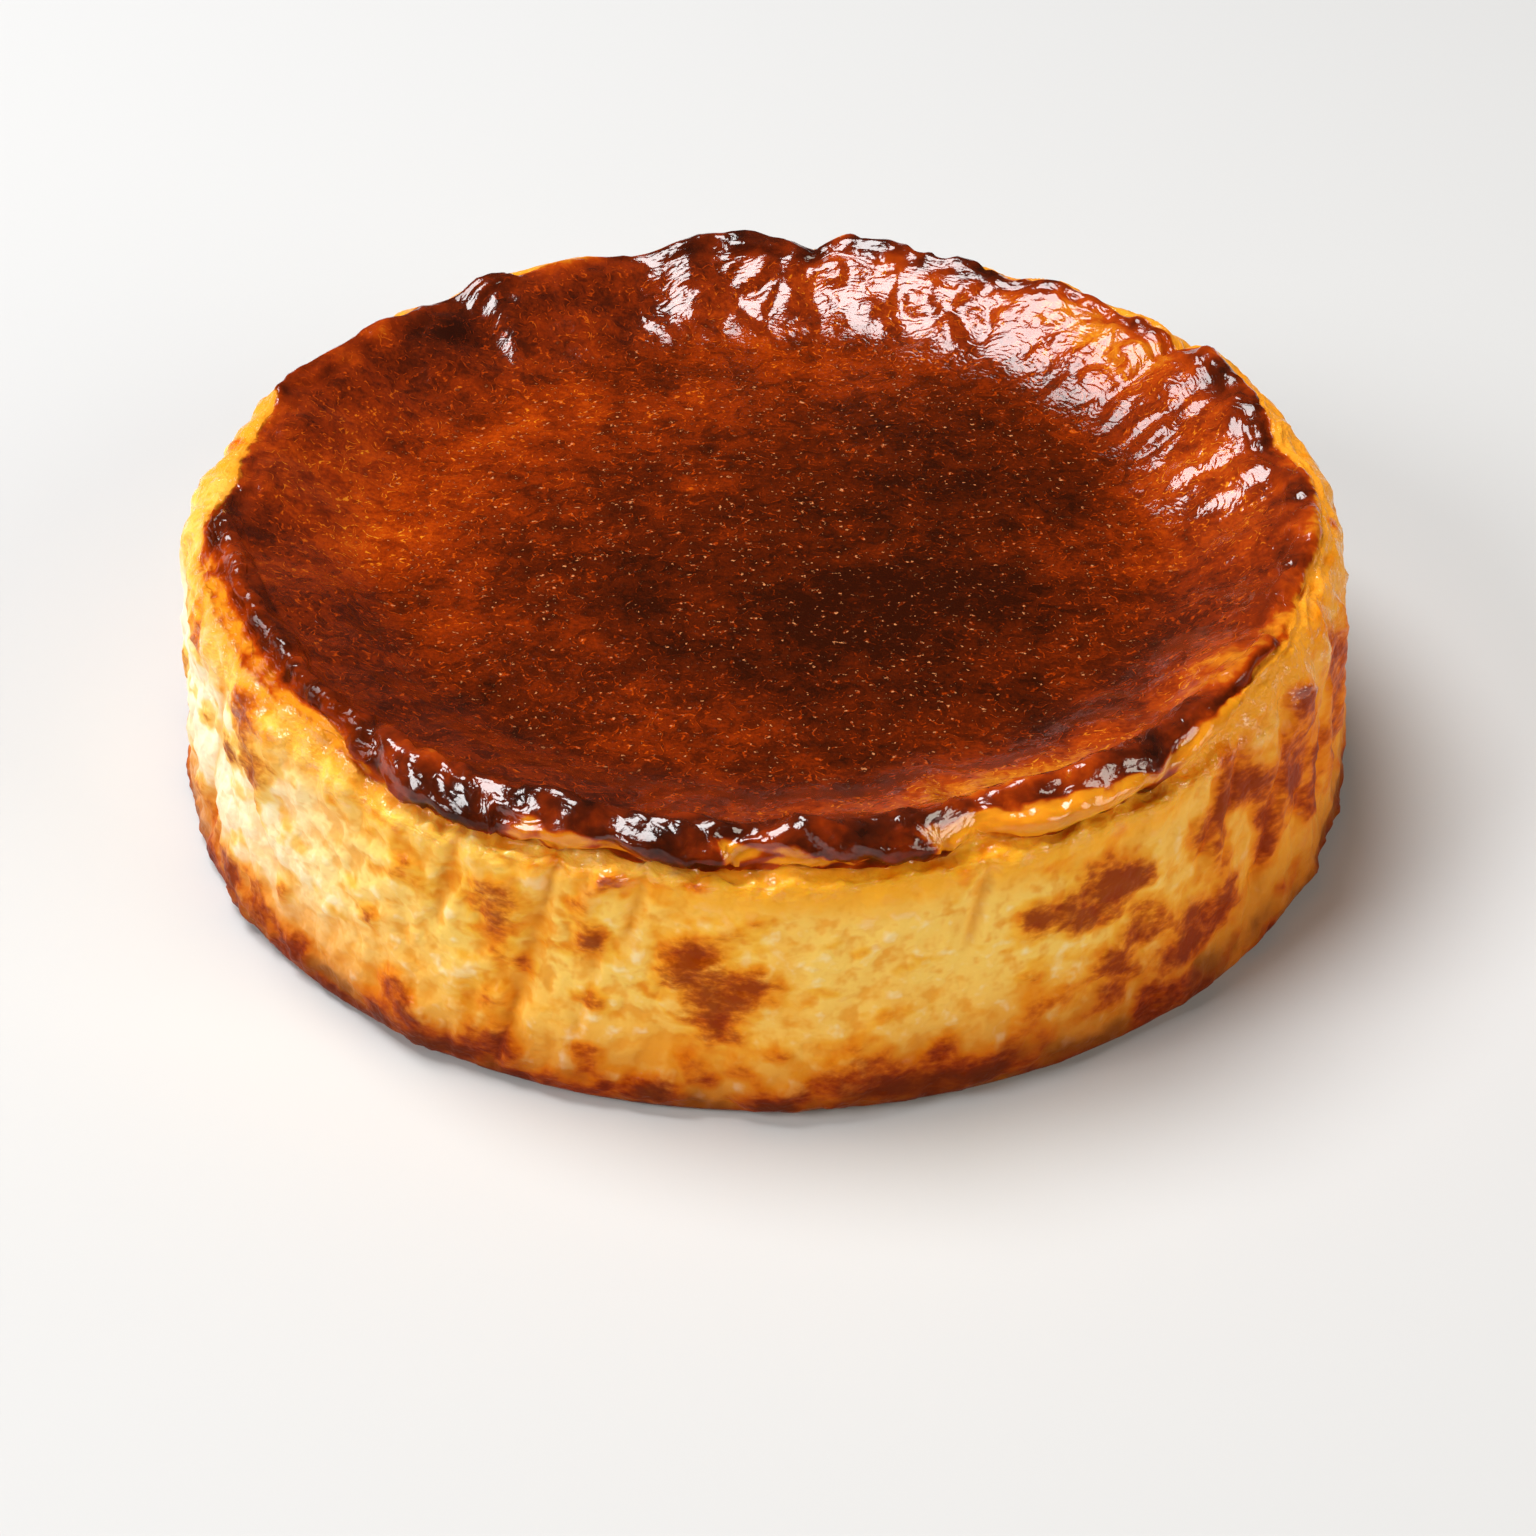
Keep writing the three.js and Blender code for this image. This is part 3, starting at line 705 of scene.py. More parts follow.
class NodeBench:
    """Adds and links nodes in one tree, and lays them out in columns as it goes."""

    def __init__(self, tree):
        self.tree = tree
        self.placed = 0

    def add(self, kind, inputs=None, **settings):
        """A new node with its settings and its inputs, each a value or another node's output."""
        node = self.tree.nodes.new(kind)
        node.location = (240 * (self.placed // 5), -260 * (self.placed % 5))
        self.placed += 1
        for name, value in settings.items():
            setattr(node, name, value)
        for key, value in (inputs or {}).items():
            if isinstance(value, bpy.types.NodeSocket):
                self.tree.links.new(value, node.inputs[key])
            else:
                node.inputs[key].default_value = value
        return node

    def attribute(self, name, vector=False):
        """A value that the mesh holds at each point."""
        if self.tree.bl_idname == "GeometryNodeTree":
            kind = "FLOAT_VECTOR" if vector else "FLOAT"
            node = self.add("GeometryNodeInputNamedAttribute", {"Name": name}, data_type=kind)
            return node.outputs["Attribute"]
        return self.add("ShaderNodeAttribute", attribute_name=name).outputs["Vector" if vector else "Fac"]

    def math(self, operation, *values):
        """One step of arithmetic."""
        return self.add("ShaderNodeMath", dict(enumerate(values)), operation=operation).outputs[0]

    def times(self, first, second):
        """The product of two values."""
        return self.math("MULTIPLY", first, second)

    def weigh(self, start, *pairs):
        """A start value plus each value times its weight."""
        total = start
        for value, weight in pairs:
            total = self.math("MULTIPLY_ADD", value, weight, total)
        return total

    def ramp(self, value, low, high, start=0.0, end=1.0):
        """A smooth ramp from start at low to end at high."""
        inputs = {"Value": value, "From Min": low, "From Max": high, "To Min": start, "To Max": end}
        return self.add("ShaderNodeMapRange", inputs, interpolation_type="SMOOTHSTEP").outputs["Result"]

    def stretch(self, vector, scale):
        """A place scaled along each axis, so that a pattern is drawn out along the smaller ones."""
        inputs = {0: vector, 1: scale}
        return self.add("ShaderNodeVectorMath", inputs, operation="MULTIPLY").outputs["Vector"]

    def shifted(self, vector, seed):
        """A place moved by a seed, so that patterns of one kind differ."""
        inputs = {0: vector, 1: (seed, -seed, 0.7 * seed)}
        return self.add("ShaderNodeVectorMath", inputs, operation="ADD").outputs["Vector"]

    def noise(self, vector, size, detail=2.0, roughness=0.5, distortion=0.0, seed=0.0):
        """Cloudy noise with features of a size in metres, about 0.5 on average."""
        inputs = {
            "Vector": self.shifted(vector, seed), "Scale": 1 / size, "Detail": detail,
            "Roughness": roughness, "Distortion": distortion,
        }
        return self.add("ShaderNodeTexNoise", inputs).outputs[0]

    def cells(self, vector, size, feature, seed=0.0):
        """Distance in a pattern of cells of a size in metres."""
        inputs = {"Vector": self.shifted(vector, seed), "Scale": 1 / size}
        return self.add("ShaderNodeTexVoronoi", inputs, feature=feature).outputs["Distance"]

    def ridges(self, value, sharpness=3.0):
        """Crests along the middle contour of a noise, 1 on top and 0 between them."""
        swing = self.math("ABSOLUTE", self.math("MULTIPLY_ADD", value, 2.0, -1.0))
        return self.math("MAXIMUM", self.math("MULTIPLY_ADD", swing, -sharpness, 1.0), 0.0)

    def opaque(self, colour):
        """A colour as a socket takes it: another node's output, or three numbers with a full alpha."""
        return colour if isinstance(colour, bpy.types.NodeSocket) else (*colour, 1)

    def mix(self, share, first, second):
        """A mix of two colours."""
        inputs = {0: share, 6: self.opaque(first), 7: self.opaque(second)}
        return self.add("ShaderNodeMix", inputs, data_type="RGBA", clamp_factor=True).outputs[2]

    def tinted(self, colour, tint):
        """A colour times a tint."""
        inputs = {0: 1.0, 6: colour, 7: tint}
        return self.add("ShaderNodeMix", inputs, data_type="RGBA", blend_type="MULTIPLY").outputs[2]

    def colours(self, value, stops):
        """A colour from a ramp of (share, colour) stops."""
        ramp = self.add("ShaderNodeValToRGB", {0: value})
        elements = ramp.color_ramp.elements
        while len(elements) < len(stops):
            elements.new(0.5)
        for element, (share, colour) in zip(elements, stops):
            element.position = share
            element.color = (*colour, 1)
        return ramp.outputs[0]


def browned_skin(bench, wrap):
    """How browned the wall is, about 0 on bare custard and 1 in the middle of a patch."""
    streak = bench.noise(bench.stretch(wrap, (0.8, 0.8, 1.2)), 0.006, 2.0, 0.55, seed=3.1)
    blotch = bench.noise(wrap, 0.012, 1.0, 0.5, seed=9.7)
    foot = bench.ramp(bench.weigh(-2.0, (bench.attribute("foot"), 1.0), (blotch, 3.0)), -0.15, 0.6)
    marks = bench.math("MAXIMUM", bench.attribute("scorch"), bench.times(foot, 0.75))
    return bench.weigh(-1.02, (marks, 1.1), (streak, 1.8))


def wall_lumps(bench, wrap):
    """Soft lumps of the wall, from about -1 to 1."""
    broad = bench.noise(wrap, 0.012, 1.0, 0.5, 0.3, seed=1.3)
    small = bench.noise(wrap, 0.0052, 1.0, 0.5, 0.5, seed=7.8)
    return bench.weigh(-2.5, (broad, 3.0), (small, 2.0))


def bent_place(bench, place, size, amount):
    """A place moved about by noise, so that a pattern of cells isn't too even."""
    bend = bench.add("ShaderNodeTexNoise", {"Vector": place, "Scale": 1 / size, "Detail": 2.0})
    inputs = {0: bend.outputs["Color"], 1: (amount, amount, amount), 2: place}
    return bench.add("ShaderNodeVectorMath", inputs, operation="MULTIPLY_ADD").outputs["Vector"]


def wall_curds(bench, wrap):
    """Small rounded curds of the wall, from about -1 in their creases to 1 on top."""
    edge = bench.cells(bent_place(bench, wrap, 0.008, 0.006), 0.0044, "DISTANCE_TO_EDGE", seed=1.9)
    return bench.ramp(edge, 0.0, 0.42, -1.0, 1.0)


def lip_folds(bench, braid):
    """Folds that run along the strands of the rolled lip."""
    return bench.ridges(bench.noise(bench.stretch(braid, (0.3, 0.3, 1)), 0.0042, 1.0, 0.5, 0.5, seed=5.7))


def skin_puffs(bench, place):
    """Puffed cells of the glossy skin, 0 in their creases and 1 on top."""
    edge = bench.cells(bent_place(bench, place, 0.0067, 0.006), 0.0085, "DISTANCE_TO_EDGE")
    return bench.ramp(edge, 0.0, 0.4)


RELIEF_INPUTS = (
    "lump_height", "curd_height", "ledge_height", "skin_height", "pit_depth", "lip_lump", "lip_fold",
    "puff_height",
)


def relief_tree():
    """Geometry Nodes that push the skin out and in along its normals, each kind by its own height."""
    tree = bpy.data.node_groups.new("cake_relief", "GeometryNodeTree")
    tree.interface.new_socket("Skin", in_out="INPUT", socket_type="NodeSocketGeometry")
    for name in RELIEF_INPUTS:
        socket = tree.interface.new_socket(name, in_out="INPUT", socket_type="NodeSocketFloat")
        socket.subtype = "DISTANCE"
    tree.interface.new_socket("finish", in_out="INPUT", socket_type="NodeSocketMaterial")
    tree.interface.new_socket("Cake", in_out="OUTPUT", socket_type="NodeSocketGeometry")
    bench = NodeBench(tree)
    given = bench.add("NodeGroupInput").outputs
    place = bench.add("GeometryNodeInputPosition").outputs[0]
    wrap = bench.attribute("wrap", vector=True)
    braid = bench.attribute("braid", vector=True)
    pitted = bench.ramp(bench.noise(wrap, 0.016, 2.0, seed=6.2), 0.5, 0.6)
    holes = bench.ramp(bench.cells(wrap, 0.0055, "F1", seed=2.6), 0.12, 0.3, -1.0, 0.0)
    pits = bench.times(holes, pitted)
    knots = bench.noise(bench.stretch(braid, (0.35, 0.35, 1)), 0.0065, 1.0, 0.5, 0.6, seed=4.9)
    knots = bench.weigh(-2.5, (knots, 5.0))
    lumps = bench.times(wall_lumps(bench, wrap), bench.attribute("lumpy"))
    clinging = bench.ramp(browned_skin(bench, wrap), 0.2, 0.5)
    curds = wall_curds(bench, wrap)
    ledge_curds = bench.times(curds, bench.attribute("ledge"))
    curds = bench.times(curds, bench.attribute("lumpy"))
    on_wall = bench.weigh(
        0.0, (lumps, given["lump_height"]), (clinging, given["skin_height"]), (pits, given["pit_depth"]),
        (curds, given["curd_height"]), (ledge_curds, given["ledge_height"]),
    )
    on_lip = bench.weigh(0.0, (knots, given["lip_lump"]), (lip_folds(bench, braid), given["lip_fold"]))
    on_skin = bench.times(skin_puffs(bench, place), given["puff_height"])
    rise = bench.weigh(
        0.0, (on_wall, bench.attribute("wall")), (on_lip, bench.attribute("lip")),
        (on_skin, bench.attribute("skin")),
    )
    normal = bench.add("GeometryNodeInputNormal").outputs[0]
    push = bench.add("ShaderNodeVectorMath", {0: normal, "Scale": rise}, operation="SCALE")
    # Relief kept for the finish, which paints light on its tops and shade in its hollows
    relief = bench.weigh(0.0, (lumps, 0.9), (curds, 0.35))
    store = {"Geometry": given["Skin"], "Name": "relief", "Value": relief}
    kept = bench.add("GeometryNodeStoreNamedAttribute", store, data_type="FLOAT", domain="POINT")
    moved = {"Geometry": kept.outputs[0], "Offset": push.outputs["Vector"]}
    raised = bench.add("GeometryNodeSetPosition", moved)
    real = bench.add("GeometryNodeRealizeInstances", {"Geometry": raised.outputs[0]})
    baked = bench.add("GeometryNodeSetMaterial", {"Geometry": real.outputs[0], "Material": given["finish"]})
    bench.add("NodeGroupOutput", {"Cake": baked.outputs[0]})
    return tree


# Shares of the broad and the finer clouds in the tone of the top
BROAD_TONE = 0.7
CLOUD_TONE = 0.55


def caramel_skin(bench, place, braid, crust, finish):
    """Colour, fine height and glints of the burnt top: an amber to nearly black skin with fibrous grain, and
    pale specks painted in the basin as glints.
    """
    broad = bench.noise(place, 0.03, 2.0, 0.6, seed=2.2)
    cloud = bench.noise(place, 0.008, 3.0, 0.6, seed=7.5)
    fibre = bench.noise(place, 0.0034, 1.5, 0.5, 0.8, seed=1.1)
    speck = bench.noise(place, 0.0011, 2.0, 0.6, seed=9.3)
    threads = bench.times(bench.ridges(fibre, 14.0), bench.ramp(speck, 0.46, 0.6))
    lip = bench.attribute("lip")
    basin = bench.attribute("basin")
    grain = bench.weigh(-0.38, (fibre, 0.4), (speck, 0.5), (threads, -0.5))
    thin_edge = bench.ramp(crust, 0.0, 0.6, -0.3, 0.0)
    wrinkle = bench.noise(bench.stretch(braid, (0.45, 0.45, 1)), 0.0021, 1.5, 0.5, seed=3.9)
    flesh = bench.weigh(-2.7, (bench.attribute("flesh"), 1.55), (cloud, 2.4), (wrinkle, 1.6))
    glowing = bench.ramp(flesh, 0.05, 0.6)
    depth = bench.weigh(
        finish.top_tone - 0.5 * (BROAD_TONE + CLOUD_TONE),
        (broad, BROAD_TONE), (cloud, CLOUD_TONE), (bench.attribute("tone"), 1.0),
        (grain, bench.ramp(lip, 0.0, 0.7, 1.0, 0.15)), (bench.attribute("rim"), 0.15),
        (bench.attribute("amber"), -0.66), (thin_edge, 1.0), (glowing, -0.5),
        (bench.weigh(-0.5, (cloud, 1.0)), lip),
    )
    colour = bench.colours(depth, (
        (0.0, finish.amber), (0.3, finish.orange), (0.52, finish.caramel), (0.75, finish.mahogany),
        (1.0, finish.char),
    ))
    folded = bench.math("MAXIMUM", lip, bench.attribute("skin"))
    crumple = bench.times(bench.ridges(wrinkle, 5.0), bench.ramp(folded, 0.0, 0.8, 0.0, 0.00008))
    crumple = bench.times(crumple, bench.attribute("crumpled"))
    colour = bench.mix(bench.ramp(flesh, 0.35, 0.95, 0.0, 0.65), colour, finish.flesh)
    # Painted glints: sparse pale specks painted into the basin's colour where tiny glints catch the light
    painted_glint = bench.times(bench.ramp(speck, 0.65, 0.74, 0.0, 0.7), basin)
    colour = bench.mix(painted_glint, colour, finish.painted_glint)
    height = bench.weigh(crumple, (speck, bench.ramp(basin, 0.0, 1.0, 0.0001, 0.0003)))
    return colour, height, bench.ramp(speck, 0.62, 0.7)


def pale_custard(bench, wrap, crust, finish):
    """Colour and fine height of the wall: cream custard, torn lines, browned patches and a browned foot, with
    painted light on the tops of its lumps and painted shade in its hollows, its small marks and creases and
    towards the bottom.
    """
    cloud = bench.noise(wrap, 0.014, 3.0, 0.55, seed=1.7)
    curd = bench.noise(wrap, 0.0032, 2.0, 0.55, seed=4.4)
    grain = bench.noise(bench.stretch(wrap, (0.6, 0.6, 1)), 0.001, 2.0, 0.6, seed=6.6)
    pale = bench.attribute("pale")
    relief = bench.weigh(-1.7, (curd, 3.4), (bench.attribute("relief"), 0.9))
    colour = bench.mix(bench.ramp(cloud, 0.5, 0.68, 0.0, 0.6), finish.cream, finish.custard)
    colour = bench.mix(pale, colour, finish.palest)
    # Darker golden towards the bottom: partly browning, partly painted shade
    colour = bench.mix(bench.times(bench.attribute("low"), 0.85), colour, finish.golden)
    # Painted light: the tops of the lumps and curds are painted paler
    colour = bench.mix(bench.ramp(relief, 0.1, 0.9, 0.0, 0.5), colour, finish.palest)
    # Painted shade: the hollows between them are painted golden
    painted_hollow_shade = bench.ramp(relief, -0.9, -0.1, 0.75, 0.0)
    painted_hollow_shade = bench.times(painted_hollow_shade, bench.weigh(1.0, (pale, -0.7)))
    colour = bench.mix(painted_hollow_shade, colour, finish.golden)
    # Painted shade: small nicks and the upright creases are painted golden
    nicks = bench.noise(bench.stretch(wrap, (0.7, 0.7, 1.4)), 0.003, 1.5, 0.5, 0.6, seed=5.2)
    nicks = bench.times(bench.ramp(nicks, 0.57, 0.68), bench.ramp(cloud, 0.42, 0.55))
    crease = bench.attribute("crease")
    painted_crevice_shade = bench.math("MAXIMUM", bench.times(nicks, 0.4), crease)
    colour = bench.mix(bench.times(painted_crevice_shade, 0.7), colour, finish.golden)
    under = bench.weigh(-0.5, (bench.attribute("crust"), 1.0), (curd, 1.0), (pale, -0.8))
    under = bench.ramp(under, -2.6, -1.6)
    yellow = bench.mix(bench.attribute("ripe"), finish.yolk, finish.ripe)
    moist = bench.times(under, bench.weigh(0.9, (bench.attribute("milky"), -0.55)))
    colour = bench.mix(moist, colour, yellow)
    # Warmer and darker on the warm side: partly its own tone, partly painted shade
    warm_and_shaded_wall = bench.times(bench.attribute("warm"), bench.weigh(0.9, (under, -0.75)))
    colour = bench.mix(warm_and_shaded_wall, colour, finish.golden)
    # Foot painted tan, and low down scorched: partly browning, partly painted shade
    singe = bench.attribute("singe")
    colour = bench.mix(bench.times(singe, 0.88), colour, finish.tan)
    browned = browned_skin(bench, wrap)
    fibre = bench.weigh(-0.5, (grain, 1.0))
    fibrous = bench.weigh(browned, (fibre, bench.ramp(browned, 0.15, 0.8, 0.1, 1.1)))
    colour = bench.tinted(colour, bench.colours(fibrous, BROWNING))
    blot = bench.times(bench.attribute("scorch"), bench.attribute("foot"))
    low_burn_and_shade = bench.ramp(bench.weigh(-0.6, (singe, 1.0), (cloud, 1.2)), 0.7, 1.0, 0.0, 0.7)
    burnt = bench.math("MAXIMUM", low_burn_and_shade, bench.ramp(blot, 0.35, 0.75, 0.0, 0.8))
    burnt = bench.times(burnt, bench.weigh(1.0, (pale, -0.5)))
    colour = bench.mix(burnt, colour, finish.scorch)
    colour = bench.mix(bench.ramp(crust, -0.6, 0.0, 0.0, 0.7), colour, finish.amber)
    wet_grain = bench.ramp(bench.attribute("shelf"), 0.0, 1.0, 0.00016, 0.0006)
    height = bench.weigh(0.0, (grain, wet_grain), (curd, 0.001), (crease, -0.00025))
    return colour, height


def baked_finish(finish):
    """One material for the whole skin, from pale custard to burnt caramel."""
    material = bpy.data.materials.new("baked_custard")
    material.use_nodes = True
    tree = material.node_tree
    tree.nodes.clear()
    bench = NodeBench(tree)
    place = bench.add("ShaderNodeTexCoord").outputs["Object"]
    wrap = bench.attribute("wrap", vector=True)
    braid = bench.attribute("braid", vector=True)
    ragged = bench.noise(wrap, 0.003, 2.0, 0.55, seed=2.9)
    reach = bench.weigh(-0.3, (bench.attribute("crust"), 1.0), (ragged, 0.6))
    crust = bench.ramp(reach, -0.05, 0.2)
    dark_colour, dark_height, glints = caramel_skin(bench, place, braid, reach, finish)
    pale_colour, pale_height = pale_custard(bench, wrap, reach, finish)
    colour = bench.mix(crust, pale_colour, dark_colour)
    height = bench.weigh(pale_height, (bench.math("SUBTRACT", dark_height, pale_height), crust))
    inputs = {"Height": height, "Distance": 1.0, "Strength": finish.grain_strength}
    bump = bench.add("ShaderNodeBump", inputs)
    rougher = finish.crust_roughness - finish.custard_roughness
    rough = bench.weigh(finish.custard_roughness, (crust, rougher))
    dabs = bench.ramp(bench.noise(wrap, 0.0024, 1.0, 0.5, seed=8.2), 0.5, 0.62, 0.1, 1.0)
    dabbed = bench.times(bench.attribute("shelf"), dabs)
    wet = bench.weigh(finish.wall_gloss, (dabbed, finish.shelf_gloss))
    burnt_gloss = bench.ramp(bench.attribute("basin"), 0.0, 1.0, finish.rim_gloss, finish.basin_gloss)
    burnt_gloss = bench.math("MAXIMUM", burnt_gloss, glints)
    burnt_gloss = bench.times(burnt_gloss, bench.attribute("shine"))
    coat = bench.weigh(wet, (bench.math("SUBTRACT", burnt_gloss, wet), crust))
    glow = bench.weigh(finish.glow, (bench.attribute("ledge"), finish.ledge_glow))
    shader = bench.add("ShaderNodeBsdfPrincipled", {
        "Base Color": colour, "Roughness": rough, "Normal": bump.outputs[0], "Coat Weight": coat,
        "Coat Normal": bump.outputs[0], "Coat Roughness": 0.1, "Coat IOR": 1.7, "Specular IOR Level": 0.04,
        "Subsurface Weight": glow, "Subsurface Radius": (1.0, 0.45, 0.15), "Subsurface Scale": 0.002,
    })
    bench.add("ShaderNodeOutputMaterial", {"Surface": shader.outputs[0]})
    return material


def colour_setting(name, description, default):
    """A colour setting of the finish."""
    return bpy.props.FloatVectorProperty(
        name=name, description=description, default=default, subtype="COLOR", min=0, max=1
    )


def height_setting(name, description, default):
    """A relief height in metres."""
    return bpy.props.FloatProperty(
        name=name, description=description, default=default, unit="LENGTH", precision=5
    )


def share_setting(name, description, default):
    """A share between 0 and 1."""
    return bpy.props.FloatProperty(
        name=name, description=description, default=default, min=0, max=1, subtype="FACTOR"
    )


def power_setting(name, description, default):
    """The power of a lamp."""
    return bpy.props.FloatProperty(name=name, description=description, default=default, unit="POWER")


class ReliefSettings(bpy.types.PropertyGroup):
    """Heights of the fine relief."""

    lump_height: height_setting("Lumps", "Soft lumps of the wall", 0.0013)
    curd_height: height_setting("Curds", "Small curds of the wall", 0.0002)
    ledge_height: height_setting("Ledge curds", "Curds of the ledge under the rim", 0.0003)
    skin_height: height_setting("Clinging skin", "Browned skin left on the wall", 0.0005)
    pit_depth: height_setting("Pits", "Small pits of the wall", 0.0004)
    lip_lump: height_setting("Lip lumps", "Knots of the rolled lip", 0.0004)
    lip_fold: height_setting("Lip folds", "Folds along the strands of the rolled lip", 0.0012)
    puff_height: height_setting("Puffs", "Puffed cells of the glossy slope", 0.0008)


class FinishSettings(bpy.types.PropertyGroup):
    """Colours and gloss of the baked skin."""

    amber: colour_setting("Amber", "Thin, translucent crust", (0.74, 0.245, 0.010))
    orange: colour_setting("Orange", "Lightly burnt crust", (0.43, 0.050, 0.0015))
    caramel: colour_setting("Caramel", "Burnt crust", (0.23, 0.0215, 0.001))
    mahogany: colour_setting("Mahogany", "Darker crust", (0.09, 0.0095, 0.001))
    char: colour_setting("Char", "Nearly black crust", (0.03, 0.0045, 0.001))
    # Palest is also the painted light on the tops of the wall's lumps and curds
    palest: colour_setting("Palest", "Custard on the pale side", (0.97, 0.84, 0.57))
    cream: colour_setting("Cream", "Pale custard", (1.0, 0.62, 0.125))
    custard: colour_setting("Custard", "Yellower custard in hollows", (0.92, 0.43, 0.05))
    yolk: colour_setting("Yolk", "Moist custard under the rim", (1.0, 0.415, 0.013))
    ripe: colour_setting("Ripe", "Moist custard under the rim at the back and right", (0.93, 0.33, 0.012))
    # Golden is also painted shade: in the wall's hollows, nicks and creases, and partly towards the bottom
    # and on the warm side
    golden: colour_setting("Golden", "Custard in crevices and under the rim", (0.87, 0.33, 0.020))
    # Tan and scorch also darken the foot, partly as browning and partly as painted shade
    tan: colour_setting("Tan", "Browned wall", (0.40, 0.078, 0.002))
    scorch: colour_setting("Scorch", "Browned middle of a patch", (0.11, 0.017, 0.001))
    flesh: colour_setting("Flesh", "Amber custard between the strands of the rim", (0.90, 0.37, 0.012))
    # Colour of the painted glints, pale specks of the basin that stand for tiny glints
    painted_glint: colour_setting("Sparkle", "Sugary specks of the basin", (0.95, 0.34, 0.12))
    top_tone: share_setting("Top tone", "How burnt the top is", 0.65)
    custard_roughness: share_setting("Custard roughness", "Roughness of the wall", 0.42)
    crust_roughness: share_setting("Crust roughness", "Roughness of the top", 0.2)
    rim_gloss: share_setting("Rim gloss", "Gloss of the rim and slope", 0.9)
    wall_gloss: share_setting("Wall gloss", "Gloss of the wall", 0.04)
    shelf_gloss: share_setting("Shelf gloss", "More gloss just under the rim", 0.7)
    basin_gloss: share_setting("Basin gloss", "Gloss of the basin", 0.07)
    grain_strength: share_setting("Grain", "Strength of the fine grain", 0.8)
    glow: share_setting("Glow", "Light that passes through the skin", 0.12)
    ledge_glow: share_setting("Ledge glow", "More light that passes through under the rim", 0.6)


class StageSettings(bpy.types.PropertyGroup):
    """Floor, lights and camera."""

    lens: bpy.props.FloatProperty(name="Lens", description="Focal length", default=61.45, unit="CAMERA")
    camera_place: bpy.props.FloatVectorProperty(
        name="Camera", description="Where the camera stands", default=(0.0007, -0.43275, 0.31353),
        subtype="TRANSLATION",
    )
    camera_aim: bpy.props.FloatVectorProperty(
        name="Aim", description="Point in the middle of the picture", default=(0.0007, 0, -0.0128),
        subtype="TRANSLATION",
    )
    overhead_power: power_setting("Overhead", "Power above", 55)
    left_power: power_setting("Left", "Power at front left", 68)
    right_power: power_setting("Right", "Power at front right", 46)
    world_light: share_setting("World", "Even light from all round", 0.03)
    floor_colour: colour_setting("Floor", "Plain pale floor", (0.62, 0.62, 0.62))


# Softboxes: name, place and width in metres, and colour of the light
SOFTBOXES = (
    ("overhead", (-0.8, 0.5, 2.0), 1.4, (1, 1, 1)),
    ("left", (-2.6, -1.3, 1.7), 1.5, (1, 1, 1)),
    ("right", (2.5, -1.4, 1.2), 1.8, (1.0, 0.94, 0.82)),
)
SOFTBOX_AIM = (0, 0, 0.03)

# Backdrop, floor in metres, and width of the camera's sensor in millimetres
BACKDROP_STRENGTH = 0.9
FLOOR_SIZE = 8
FLOOR_ROUGHNESS = 0.9
SENSOR_WIDTH = 36


def look_at(thing, aim):
    """Turns a lamp or camera so that it looks at a point."""
    thing.rotation_euler = (Vector(aim) - thing.location).to_track_quat("-Z", "Y").to_euler()


def softbox(name, place, size, power, colour):
    """A round studio lamp aimed at the cake."""
    lamp = bpy.data.lights.new(name, "AREA")
    lamp.shape = "DISK"
    lamp.size = size
    lamp.energy = power
    lamp.color = colour
    thing = bpy.data.objects.new(name, lamp)
    thing.location = place
    look_at(thing, SOFTBOX_AIM)
    bpy.context.scene.collection.objects.link(thing)


def studio_world(strength):
    """A dim even light from all round, which the camera itself sees as a white backdrop."""
    world = bpy.data.worlds.new("studio")
    world.use_nodes = True
    world.node_tree.nodes.clear()
    bench = NodeBench(world.node_tree)
    light = bench.add("ShaderNodeBackground", {"Color": (1, 1, 1, 1), "Strength": strength})
    backdrop = bench.add("ShaderNodeBackground", {"Color": (1, 1, 1, 1), "Strength": BACKDROP_STRENGTH})
    seen = bench.add("ShaderNodeLightPath").outputs["Is Camera Ray"]
    both = bench.add("ShaderNodeMixShader", {0: seen, 1: light.outputs[0], 2: backdrop.outputs[0]})
    bench.add("ShaderNodeOutputWorld", {"Surface": both.outputs[0]})
    return world


def paint_mesh(mesh, paint):
    """Stores each named value on the mesh's points."""
    for name, values in paint.items():
        vector = values.ndim == 2
        layer = mesh.attributes.new(name, "FLOAT_VECTOR" if vector else "FLOAT", "POINT")
        layer.data.foreach_set("vector" if vector else "value", values.astype(np.float32).ravel())


class CHEESECAKE_OT_cake(bpy.types.Operator):
    """Makes the cake: skin, fine relief and baked finish"""

    bl_idname = "cheesecake.cake"
    bl_label = "Cake"

    def execute(self, context):
        relief = context.scene.cheesecake_relief
        mesh, points, turns, stations = skin_mesh()
        paint_mesh(mesh, skin_paint(points, turns, stations))
        cake = bpy.data.objects.new("cake", mesh)
        context.scene.collection.objects.link(cake)
        tree = relief_tree()
        modifier = cake.modifiers.new("relief", "NODES")
        modifier.node_group = tree
        sockets = {item.name: item.identifier for item in tree.interface.items_tree}
        for name in RELIEF_INPUTS:
            modifier[sockets[name]] = getattr(relief, name)
        modifier[sockets["finish"]] = baked_finish(context.scene.cheesecake_finish)
        graph = context.evaluated_depsgraph_get()
        baked = bpy.data.meshes.new_from_object(
            cake.evaluated_get(graph), preserve_all_data_layers=True, depsgraph=graph
        )
        if len(baked.vertices) != len(mesh.vertices):
            raise RuntimeError("the relief lost points of the skin")
        cake.modifiers.clear()
        cake.data = baked
        bpy.data.meshes.remove(mesh)
        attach(cake, CAKE_BODY)
        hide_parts(CAKE_NODE)
        return {"FINISHED"}


